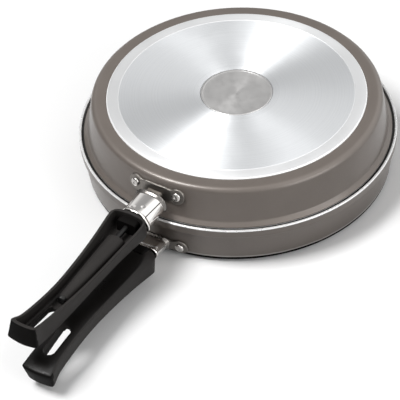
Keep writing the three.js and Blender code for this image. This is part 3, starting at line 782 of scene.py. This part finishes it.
def make_rivet(side, hand):
    lines = ("outer", "inner")
    outer, inner = (wall_radius(side, RIVET_HEIGHTS[side], line) for line in lines)
    slopes = [wall_radius(side, 1, line) - wall_radius(side, 0, line) for line in lines]
    sag = RIVET_TAIL_RADIUS**2 / inner
    tail = inner - outer - CLEARANCE - sag - RIVET_TAIL_RADIUS * abs(slopes[0] - slopes[1])
    head = CLEARANCE * 2 + STRAP_THICKNESS
    shoulder = head + RIVET_HEAD_EDGE
    top = head + RIVET_HEAD_HEIGHT
    bulge = quarters(8)[:-1]
    profile = [
        *[(RIVET_TAIL_RADIUS * r, tail - RIVET_TAIL_HEIGHT * down) for r, down in RIVET_TAIL],
        (RIVET_SHANK_RADIUS, tail),
        (RIVET_SHANK_RADIUS, head),
        (RIVET_HEAD_RADIUS - RIVET_HEAD_EDGE, head),
        *[(lerp(RIVET_HEAD_RADIUS, RIVET_DIMPLE_RADIUS, i), lerp(top, shoulder, u)) for i, u in bulge],
        *[(RIVET_DIMPLE_RADIUS * r, top - RIVET_DIMPLE_DEPTH * down) for r, down in RIVET_DIMPLE],
    ]
    mesh = turned("rivet", profile, 40, place=rivet_place(side, hand))
    piece(side, f"round_rivet_{hand}", mesh, [RIVET_STEEL], f"rivet_{hand}")


# ---- brackets ----


def strap_half_height(y):
    """Half height of the strap at a distance from its middle: an eyelet, a curve and a straight middle."""
    eyelet = RIVET_SPACING / 2
    join = eyelet + EYELET_RADIUS * math.cos(EYELET_OPENING)
    rise = EYELET_RADIUS * math.sin(EYELET_OPENING)
    if y >= join:
        return math.sqrt(max(0.0, EYELET_RADIUS**2 - (y - eyelet) ** 2))
    t = min((join - y) / rise, 1.0)
    return rise * (1 - t) * (1 - t + 2 * t * STRAP_WAIST) + t * t * STRAP_HEIGHT / 2


def strap_skin(side):
    """The strap as a thick leaf on the wall, with its outer edge rounded."""
    ends = RIVET_SPACING / 2 + EYELET_RADIUS
    rings = []
    for k in range(STRAP_COLUMNS + 1):
        y = -ends * math.cos(math.pi * k / STRAP_COLUMNS)
        half = strap_half_height(abs(y))
        rim = [min(r, half * r / 1.2) - half for r in (0, 0.1, 0.25, 0.5)]
        flat = half - min(0.5, half * 0.42)
        heights = rim + [lerp(-flat, flat, step / 8) for step in range(1, 8)] + [-z for z in reversed(rim)]
        outer, inner = [], []
        for z in heights:
            inset = min(half - abs(z), (ends - abs(y)) * 1.5, STRAP_EDGE)
            drop = STRAP_EDGE - math.sqrt(max(0.0, STRAP_EDGE**2 - (STRAP_EDGE - inset) ** 2))
            height = RIVET_HEIGHTS[side] + z
            for row, gap in ((outer, CLEARANCE + STRAP_THICKNESS - drop), (inner, CLEARANCE)):
                radius = wall_radius(side, height) + gap
                row.append((math.sqrt(radius**2 - y * y), y, height))
        rings.append(outer + inner[::-1])
    return skin(rings)


def box_ring(x, middle, half_width, half_height, corner, steps=5):
    """A rectangle with round corners, as a ring across X."""
    ring = []
    for turn, (sy, sz) in enumerate(((1, -1), (1, 1), (-1, 1), (-1, -1))):
        for step in range(steps + 1):
            angle = math.pi / 2 * (turn - 1 + step / steps)
            y = sy * (half_width - corner) + corner * math.cos(angle)
            z = sz * (half_height - corner) + corner * math.sin(angle)
            ring.append((x, y, middle + z))
    return ring


def screw_height(distance):
    return SCREW_FRONT_HEIGHT + SCREW_SLOPE * (distance - GRIP_START)


def neck_mesh(start, ferrule_start, end, inset):
    """The neck's outside, or its hollow when set in by the wall."""
    rows = [
        (start, NECK_PAN_MIDDLE, NECK_PAN_HEIGHT),
        (ferrule_start, NECK_PAN_MIDDLE, NECK_PAN_HEIGHT),
        (GRIP_START, screw_height(GRIP_START), NECK_GRIP_HEIGHT),
        (GRIP_START + GRIP_FRONT_WALL, screw_height(GRIP_START), NECK_TIP_HEIGHT),
        (end, screw_height(end), NECK_TIP_HEIGHT),
    ]
    corner = NECK_ROUND - inset / 2
    half = NECK_WIDTH / 2 - inset
    rings = [box_ring(x, middle, half, high / 2 - inset, corner) for x, middle, high in rows]
    return mesh_from("neck", *skin(rings))


# The screw's axis, with distances along it counted as along the handle
SCREW_PLACE = (
    Matrix.Translation((GRIP_START, 0, SCREW_FRONT_HEIGHT))
    @ Matrix.Rotation(-math.atan(SCREW_SLOPE), 4, "Y")
    @ Matrix.Translation((-GRIP_START, 0, 0))
)


def make_bracket(side):
    middle = wall_radius(side, NECK_PAN_MIDDLE)
    start, ferrule_start = middle + CLEARANCE + STRAP_THICKNESS / 2, middle + FERRULE_GAP
    neck = neck_mesh(start, ferrule_start, NECK_END, 0)
    hollow = neck_mesh(start - 4, ferrule_start, NECK_END - NECK_WALL, NECK_WALL)
    cut = [hollow, bar(SCREW_RADIUS + CLEARANCE, NUT_START, NECK_END + 4, SCREW_PLACE)] + rivet_bars(side)
    strap = mesh_from("strap", *strap_skin(side))
    piece(side, "pressed_bracket", strap, [STRAP_STEEL], "bracket", added=[neck], cut=cut)


# ---- ferrules ----


def ferrule_template():
    """Points round half a ferrule: smooth on both sides of the crease that bounds its open side."""
    table = [(k, *row) for k, row in enumerate(FERRULE_OUTLINE)]
    half = []
    for part, steps, near, groove in (
        (table[: FERRULE_CREASE + 1], 14, (0.94, 0.98), 0.98),
        (table[FERRULE_CREASE:], 30, (0.0, 0.008, 0.022), 0.0),
    ):
        for share in sorted({step / steps for step in range(steps)}.union(near)):
            at = lerp(part[0][0], part[-1][0], share)
            deep = FERRULE_GROOVE if share == groove else 0.0
            half.append((*(spline(part, row, at) for row in (1, 2, 3)), deep))
    return half + [(*FERRULE_OUTLINE[-1], 0.0)]


FERRULE_TEMPLATE = ferrule_template()


def ferrule_ring(x, share, grow):
    width, height, middle = (lerp(a, b, share) for a, b in zip(FERRULE_PAN, FERRULE_GRIP))
    half = [
        (lerp(pan, grip, share) * (width / 2 + grow - deep), middle + up * (height / 2 + grow - deep))
        for pan, grip, up, deep in FERRULE_TEMPLATE
    ]
    other = [(-y, z) for y, z in reversed(half[1:-1])]
    return [(x, y, z) for y, z in half + other]


def make_ferrule(side):
    start = wall_radius(side, FERRULE_PAN[2]) + FERRULE_GAP
    end = GRIP_START - CLEARANCE
    lip_end, bead_start = start + FERRULE_LIP_LENGTH, end - FERRULE_BEAD_LENGTH
    rows = [(start + a * FERRULE_LIP_LENGTH, g * FERRULE_LIP_FLARE) for a, g in FERRULE_LIP]
    rows += [(lerp(lip_end, bead_start, k / FERRULE_STEPS), 0) for k in range(1, FERRULE_STEPS)]
    rows += [(end - a * FERRULE_BEAD_LENGTH, g * FERRULE_BEAD) for a, g in FERRULE_END]

    def ring(x, grow):
        return ferrule_ring(x, (x - start) / (end - start), grow)

    def dent(x, y):
        away = [math.dist((x, y), (lerp(start, end, at), across)) / DIMPLE_RADIUS for at, across in DIMPLES]
        return sum(DIMPLE_DEPTH * max(0.0, 1 - a * a) ** 2 for a in away)

    outer = []
    for x, grow in rows:
        middle = lerp(FERRULE_PAN[2], FERRULE_GRIP[2], (x - start) / (end - start))
        outer.append([(x, y, z + dent(x, y) if z <= middle else z) for x, y, z in ring(x, grow)])
    inner = [ring(x, grow - FERRULE_WALL) for x, grow in reversed(rows)]
    points, faces = skin(outer + inner + outer[:1], caps=False)

    # The lip has its own darker steel, painted shade, and the faces along the crease on both sides have
    # near-black steel, painted shade in the crease
    count = len(outer[0])
    grooved = [k for k, point in enumerate(FERRULE_TEMPLATE) if point[3]]
    crease_shade = set(range(grooved[0] - 1, grooved[-1] + 1))
    crease_shade |= {count - 1 - k for k in crease_shade}
    marks = []
    for k in range(len(faces)):
        row = k // count
        in_crease_shade = k % count in crease_shade and row < len(outer) - 5
        marks.append(2 if row < len(FERRULE_LIP) - 1 else int(in_crease_shade))
    mesh = mesh_from("ferrule", points, faces, marks)
    piece(side, "flared_ferrule", mesh, [STEEL, CREASE_SHADE_STEEL, LIP_SHADE_STEEL], "ferrule", 40.0)


# ---- handles ----


Size = collections.namedtuple("Size", "rim_half face_half rim face round flat")
SCALES = (GRIP_HALF_WIDTH, GRIP_HALF_WIDTH, GRIP_TOP, GRIP_TOP, GRIP_FACE_ROUND)


def grip_at(distance):
    """Half widths and heights of the open rim and the face, and the face's round and flat half width."""
    share = min(max((distance - GRIP_START) / GRIP_LENGTH, 0.0), 1.0)
    sizes = [spline(GRIP_SHAPE, row, share) * scale for row, scale in enumerate(SCALES, 1)]
    return Size(*sizes, sizes[1] - spline(FACE_EDGE, 1, share * GRIP_LENGTH))


FRONT_ROUND = grip_at(GRIP_START).round * 0.8
TAIL_ROUND = grip_at(GRIP_END).round * 0.9


def grip_point(distance, across, height, size):
    """A point of the handle, bowed at both ends and sloped at the tail."""
    bow = (across / size.face_half) ** 2
    opening = (size.face - height) / (size.face - size.rim)
    front = 1 - smoothstep(distance, GRIP_START, GRIP_START + FRONT_RAMP)
    tail = smoothstep(distance, GRIP_END - TAIL_RAMP, GRIP_END)
    shift = front * FRONT_BOW * bow * opening - tail * (TAIL_BOW * bow + TAIL_SLOPE * opening)
    return (distance + shift, across, height)


def grip_loop(height, half, front, tail, corner):
    """One closed loop round a handle.

    Its height and half width are worked out from the sizes at each place; front and tail say how far in
    its ends are, and corner how round they are.
    """
    first, last = GRIP_START + front, GRIP_END - tail
    bend = [(last - corner * left, corner * over) for over, left in quarters(GRIP_CORNER_STEPS)[1:]]
    shares = [k / GRIP_SIDE_STEPS for k in range(GRIP_SIDE_STEPS + 1)]
    walk = [(lerp(first + corner, last - corner, share), 1, 0) for share in shares]
    walk += [(x, 1, less) for x, less in bend]
    walk += [(last, 1 - 2 * k / GRIP_END_STEPS, corner) for k in range(1, GRIP_END_STEPS)]
    walk += [(x, -1, less) for x, less in reversed(bend)]
    walk += [(first + last - x, -share, less) for x, share, less in walk]
    loop = []
    for x, share, less in walk:
        size = grip_at(x)
        y = max(half(size) - less, 0.0) * share
        loop.append(grip_point(x, y, height(size, y), size))
    return loop


def crown_loop(share, drop, side, *ends):
    """A loop on a face, at a share of its flat half width."""
    return grip_loop(
        lambda size, y: size.face - drop + GRIP_CROWN * (1 - min(abs(y) / size.flat, 1.0) ** 2),
        lambda size: max(size.flat - side, 0.0) * share,
        *ends,
    )


def corner_loop(share):
    """A loop on the round between the sides and the face, at a share of the way to the face."""
    over, left = quarter(share)
    across, up = lerp(over, share, 0.4), lerp(left, 1 - share, 0.4)
    return grip_loop(
        lambda size, y: size.face - size.round * up,
        lambda size: lerp(size.face_half, size.flat, across),
        FRONT_ROUND * across,
        TAIL_ROUND * across,
        GRIP_CORNER - 0.6 * across,
    )


def side_loop(share, lift, inset, *ends):
    """A loop on the sides, at a share of the way from the open edge to the face."""
    return grip_loop(
        lambda size, y: lerp(size.rim, size.face, share) + lift,
        lambda size: lerp(size.rim_half, size.face_half, share) - inset,
        *ends,
    )


def grip_skin():
    """The handle as a deep tray: up its outside from the face, over the open edge and down its inside."""
    loops = []
    for share in (0.0, 0.25, 0.5, 0.75, 0.94):
        flat = (1 - share) * GRIP_FACE_FLAT
        loops.append(crown_loop(share, 0, 0, FRONT_ROUND + flat, TAIL_ROUND + flat, GRIP_FACE_CORNER))
    polished = len(loops)
    loops += [corner_loop(1 - step / 8) for step in range(8)]
    loops += [side_loop(share, 0, 0, 0, 0, GRIP_CORNER) for share in (0.62, 0.45, 0.3, 0.17)]
    outside = len(loops)
    walls = (GRIP_WALL, GRIP_FRONT_WALL, GRIP_END_WALL)
    rim = [[GRIP_RIM_ROUND * part for part in parts] for parts in quarters(4)]
    for over, lift in rim:
        loops.append(side_loop(0, lift, over, over, over, GRIP_CORNER - over))
    for over, lift in reversed(rim):
        loops.append(side_loop(0, lift, *(wall - over for wall in walls), GRIP_INNER_CORNER + over))
    loops += [side_loop(share, 0, *walls, GRIP_INNER_CORNER) for share in (0.17, 0.3, 0.45, 0.6)]
    for parts in quarters(5):
        inset, drop = (GRIP_INNER_FILLET * part for part in parts)
        loops.append(
            grip_loop(
                lambda size, y: size.face - GRIP_FACE_WALL - drop,
                lambda size: size.face_half - GRIP_WALL - inset,
                GRIP_FRONT_WALL + inset,
                GRIP_END_WALL + inset,
                max(GRIP_FACE_CORNER, GRIP_INNER_CORNER - inset),
            )
        )
    for share in (0.6, 0.3, 0.0):
        deep = GRIP_INNER_FILLET + (1 - share) * 6
        ends = (GRIP_FRONT_WALL + deep, GRIP_END_WALL + deep, 0.4)
        loops.append(crown_loop(share, GRIP_FACE_WALL + GRIP_CROWN, 0.6, *ends))

    # The crowned face is polished, and the outside of the tail's end has the near-black moulding: painted
    # shade on the side turned from the lamps
    points, faces = skin(loops)
    count = len(loops[0])
    marks = []
    for k, face in enumerate(faces):
        at_tail = min(points[corner][0] for corner in face) > GRIP_END - TAIL_CAP
        marks.append(1 if k < polished * count else 2 if k < outside * count and at_tail else 0)
    marks[-2:] = [1, 0]
    return points, faces, marks


def stadium(length, width, steps=20):
    """Outline of a slot: its round end at +X, and the same turned about."""
    angles = [math.pi * (step / steps - 0.5) for step in range(steps + 1)]
    end = [((length - width + width * math.cos(a)) / 2, width / 2 * math.sin(a)) for a in angles]
    return end + [(-x, -y) for x, y in end]


def ceiling(x):
    """Height of the inner side of a handle's face."""
    return grip_at(x).face - GRIP_FACE_WALL


def slot_ring(grow, height):
    """A ring round the hang slot, grown from its outline, at the height that is given for each place."""
    ring = stadium(SLOT_LENGTH + 2 * grow, SLOT_WIDTH + 2 * grow)
    return [(SLOT_CENTRE + x, y, height(SLOT_CENTRE + x)) for x, y in ring]


def bead_mesh():
    """The low bead round the hang slot, sunk in the face's wall; its bore is cut with the slot."""
    sunk, bored = -GRIP_FACE_WALL / 2, -0.6
    rows = [
        (SLOT_WALL - SLOT_BEAD_ROUND, SLOT_BEAD_HEIGHT),
        (SLOT_WALL - 0.12, SLOT_BEAD_HEIGHT - 0.12),
        (SLOT_WALL, SLOT_BEAD_HEIGHT - SLOT_BEAD_ROUND),
        (SLOT_WALL, sunk),
        (bored, sunk),
        (bored, SLOT_BEAD_HEIGHT),
    ]
    rings = [slot_ring(grow, lambda x: ceiling(x) - drop) for grow, drop in rows]
    return mesh_from("bead", *skin(rings + rings[:1], caps=False))


def spine_mesh():
    """The spine that the screw runs through: a broad crowned pad that narrows towards the slot."""
    steps = 28
    rows = [(0.0, 1.1), (0.006, 0.4), (0.018, 0.0)] + [(step / steps, 0.0) for step in range(1, steps + 1)]
    rings = []
    for share, low in rows:
        x = lerp(SPINE_START, SLOT_FRONT, share)
        pad_half = lerp(PAD_FRONT[0], PAD_REAR[0], share) / 2 - low
        pad = ceiling(x) - lerp(PAD_FRONT[1], PAD_REAR[1], share) + low
        crest = screw_height(x) - SCREW_RADIUS - CLEARANCE - 0.5 + low
        half = [(pad_half + 0.3, ceiling(x) + GRIP_FACE_WALL / 2), (pad_half, pad + 0.7)]
        half += [(pad_half * (1 - over), lerp(crest, pad, left)) for over, left in quarters(12)]
        rings.append([(x, -y, z) for y, z in half] + [(x, y, z) for y, z in reversed(half[:-1])])
    return mesh_from("spine", *skin(rings))


def socket_mesh(rows, grow, corner, rise=0.0):
    """A box along the neck's way; rise is how much further it reaches towards the face."""
    rings = [
        box_ring(x, screw_height(x) + rise / 2, NECK_WIDTH / 2 + grow, (high + rise) / 2 + grow, corner)
        for x, high in rows
    ]
    return mesh_from("socket", *skin(rings))


def make_handle(side):
    tunnel = bar(SCREW_HEAD_RADIUS + CLEARANCE, SLOT_FRONT - SCREW_HEAD_DEPTH, SLOT_FRONT + 2, SCREW_PLACE)
    bore = bar(SCREW_RADIUS + CLEARANCE, NECK_END - 2, SLOT_FRONT + 2, SCREW_PLACE)
    mouth = [(GRIP_START - 4, NECK_GRIP_HEIGHT), (GRIP_START, NECK_GRIP_HEIGHT)]
    seat = [(GRIP_START + GRIP_FRONT_WALL, NECK_TIP_HEIGHT), (NECK_END + CLEARANCE, NECK_TIP_HEIGHT)]
    socket = socket_mesh(mouth + seat, CLEARANCE, SOCKET_ROUND)
    grow = CLEARANCE + SOCKET_WALL
    rows = [(GRIP_START + GRIP_FRONT_WALL / 2, NECK_TIP_HEIGHT), (NECK_END + grow, NECK_TIP_HEIGHT)]
    sleeve = socket_mesh(rows, grow, SLEEVE_ROUND, SLEEVE_RISE)
    # The sleeve takes the near-black moulding: painted shade in the pocket's front.
    for face in sleeve.polygons:
        face.material_index = 2
    low = ceiling(SLOT_CENTRE + SLOT_LENGTH / 2) - 6
    slot = mesh_from("slot", *skin([slot_ring(0, lambda x: low), slot_ring(0, lambda x: GRIP_TOP + 4)]))
    added, cut = [spine_mesh(), sleeve, bead_mesh()], [slot, socket, bore, tunnel]
    mesh = mesh_from("grip", *grip_skin())
    piece(side, "moulded_handle", mesh, [SATIN, POLISHED, SHADE_MOULDING], "handle", 40.0, added, cut)


# ---- screws and nuts ----


def make_screw(side):
    head = SLOT_FRONT - SCREW_HEAD_DEPTH + CLEARANCE
    end = head + SCREW_HEAD_LENGTH
    tip = NUT_START - 2
    profile = [
        (0, tip),
        (SCREW_RADIUS - SCREW_POINT, tip),
        (SCREW_RADIUS, tip + SCREW_POINT),
        (SCREW_RADIUS, head),
        (SCREW_HEAD_RADIUS - 0.2, head),
        (SCREW_HEAD_RADIUS, head + 0.2),
        (SCREW_HEAD_RADIUS, end - 0.8),
        (SCREW_HEAD_RADIUS - 0.3, end - 0.3),
        (SCREW_HEAD_RADIUS - 1.2, end),
        (0, end),
    ]
    half = SCREW_SLOT_WIDTH / 2
    across = [(-6, -half), (6, -half), (6, half), (-6, half)]
    rings = [[(x, y, z) for y, z in across] for x in (end - SCREW_SLOT_DEPTH, end + 2)]
    cut = mesh_from("cut", *skin([moved(ring, SCREW_PLACE) for ring in rings]))
    mesh = turned("screw", profile, 32, place=SCREW_PLACE)
    piece(side, "long_screw", mesh, [SCREW_SHADE_STEEL], "handle_screw", cut=[cut])


def make_nut(side):
    rings = []
    for x, size in ((0, 0.9), (NUT_BEVEL, 1), (NUT_LENGTH - NUT_BEVEL, 1), (NUT_LENGTH, 0.9)):
        reach = NUT_ACROSS / 2 * size
        angles = [math.pi / 3 * k for k in range(6)]
        ring = [(NUT_START + x, reach * math.cos(angle), reach * math.sin(angle)) for angle in angles]
        rings.append(moved(ring, SCREW_PLACE))
    bore = bar(SCREW_RADIUS + CLEARANCE, NUT_START - 2, NUT_START + NUT_LENGTH + 2, SCREW_PLACE)
    piece(side, "hex_nut", mesh_from("nut", *skin(rings)), [SCREW_SHADE_STEEL], "handle_nut", 25.0, cut=[bore])


for side in WALLS:
    make_pan(side)
    make_plate(side)
    make_medallion(side)
    make_bracket(side)
    for hand in HANDS:
        make_rivet(side, hand)
    make_ferrule(side)
    make_handle(side)
    make_screw(side)
    make_nut(side)


# ---- floor, light and camera ----


def make_floor():
    """A pale floor: pale to the camera and in metal, darker as a source of bounced light."""
    corners = [(x * 6000, y * 6000, 0) for x, y in ((-1, -1), (1, -1), (1, 1), (-1, 1))]
    looks = Looks("pale_floor", Roughness=0.9, Specular_IOR_Level=0.0)
    floor = scratch("floor", mesh_from("floor", corners, [(0, 1, 2, 3)]), looks.material)
    floor.location.z = -0.0002
    path = looks.node("ShaderNodeLightPath")
    seen = looks.math("MAXIMUM", path.outputs["Is Camera Ray"], path.outputs["Is Glossy Ray"])
    looks.use(Base_Color=looks.blend(seen, grey(0.16), grey(0.86)))
    glow = looks.node("ShaderNodeEmission", {"Color": grey(1.0), "Strength": looks.times(seen, 0.02)})
    both = looks.node("ShaderNodeAddShader", {0: looks.shader.outputs[0], 1: glow.outputs[0]})
    looks.set(looks.tree.nodes["Material Output"].inputs["Surface"], both.outputs[0])


# Levels of the world: what lights the object softly from each side, and what metal mirrors
DIFFUSE_LEFT = 0.08
DIFFUSE_RIGHT = 0.6
HORIZON_LEFT = 0.4
HORIZON_RIGHT = 1.1
ZENITH_LEVEL = 1.15
BAND_DEPTH = 0.62
LEFT_LEVEL = 0.4
RIGHT_LEVEL = 1.35
SOFTBOX_LEVEL = 1.5
SOFTBOX_TURN = (0.45, -0.1, 0.88)


def make_world(right, ahead, softbox):
    """Plain soft light, white to the camera; metal sees a studio, dimmer low down, ahead and on the left."""
    world = bpy.data.worlds.new("studio")
    world.use_nodes = True
    bpy.context.scene.world = world
    sky = Nodes(world.node_tree)
    path = sky.node("ShaderNodeLightPath")
    place = sky.node("ShaderNodeTexCoord").outputs["Generated"]

    def along(direction):
        inputs = {0: place, 1: direction}
        return sky.node("ShaderNodeVectorMath", inputs, operation="DOT_PRODUCT").outputs["Value"]

    def eased(*ends):
        return sky.ranged(*ends, interpolation_type="SMOOTHSTEP")

    def chosen(ray, without, within):
        inputs = {"Factor": path.outputs[ray], "A": without, "B": within}
        return sky.node("ShaderNodeMix", inputs).outputs["Result"]

    beside = along(right)
    in_band = sky.times(
        eased(sky.math("ABSOLUTE", beside), 0.08, 0.3, 1.0, 0.0),
        eased(along(ahead), 0.1, 0.45, 0.0, 1.0),
    )
    horizon = eased(beside, 0.3, 0.9, HORIZON_LEFT, HORIZON_RIGHT)
    seen = eased(along((0, 0, 1)), 0.0, 0.45, horizon, ZENITH_LEVEL)
    for dimmed in (
        sky.math("SUBTRACT", 1.0, sky.times(in_band, BAND_DEPTH)),
        eased(beside, -0.65, -0.15, LEFT_LEVEL, 1.0),
        eased(beside, 0.1, 0.45, 1.0, RIGHT_LEVEL),
        eased(along(softbox), 0.93, 0.97, 1.0, SOFTBOX_LEVEL),
    ):
        seen = sky.times(seen, dimmed)
    level = chosen("Is Glossy Ray", eased(beside, -0.8, 0.8, DIFFUSE_LEFT, DIFFUSE_RIGHT), seen)
    background = sky.tree.nodes["Background"]
    background.inputs["Color"].default_value = grey(1.0)
    sky.set(background.inputs["Strength"], chosen("Is Camera Ray", level, 1.0))


def make_light(name, place, target, width, height, power):
    lamp = bpy.data.lights.new(name, "AREA")
    lamp.shape = "RECTANGLE"
    lamp.size, lamp.size_y = width, height
    lamp.energy = power
    obj = bpy.data.objects.new(name, lamp)
    obj.location = place
    obj.rotation_euler = (Vector(target) - Vector(place)).to_track_quat("-Z", "Y").to_euler()
    bpy.context.scene.collection.objects.link(obj)


# The photograph's camera: where it stands round the pan's axis, and how it is turned from looking at the base
CAMERA_DISTANCE = 1.5528
CAMERA_RISE = math.radians(40.914)
CAMERA_TURN = math.radians(31.1)
CAMERA_ROLL = math.radians(2.239)
CAMERA_YAW = math.radians(1.169)
CAMERA_PITCH = math.radians(-1.186)
FOCAL_SHARE = 1990.35 / 400
SENSOR_WIDTH = 36.0


FRAME_TURN = Matrix.Rotation(math.pi / 2 + CAMERA_TURN, 4, "Z")


def in_frame(*vector):
    """A place or direction given as right, ahead and up in the photograph, in the part's frame."""
    return FRAME_TURN @ Vector(vector)


def make_camera():
    data = bpy.data.cameras.new("camera")
    data.sensor_fit = "HORIZONTAL"
    data.sensor_width = SENSOR_WIDTH
    data.lens = FOCAL_SHARE * SENSOR_WIDTH
    data.clip_end = 50
    camera = bpy.data.objects.new("camera", data)
    camera.matrix_world = (
        FRAME_TURN
        @ Matrix.Rotation(math.pi / 2 - CAMERA_RISE, 4, "X")
        @ Matrix.Translation((0, 0, CAMERA_DISTANCE))
        @ Matrix.Rotation(CAMERA_YAW, 4, "Y")
        @ Matrix.Rotation(CAMERA_PITCH, 4, "X")
        @ Matrix.Rotation(-CAMERA_ROLL, 4, "Z")
    )
    bpy.context.scene.collection.objects.link(camera)
    bpy.context.scene.camera = camera


make_camera()
make_floor()
make_world(in_frame(1, 0, 0), in_frame(0, 1, 0), in_frame(*SOFTBOX_TURN))
make_light("key", in_frame(-1.0, -0.2, 2.05), (0, 0, 0), 0.85, 0.85, 48)
make_light("fill", in_frame(1.7, -1.3, 1.0), (0, 0, 0.03), 1.6, 1.2, 17)
bpy.context.scene.view_settings.view_transform = "Standard"
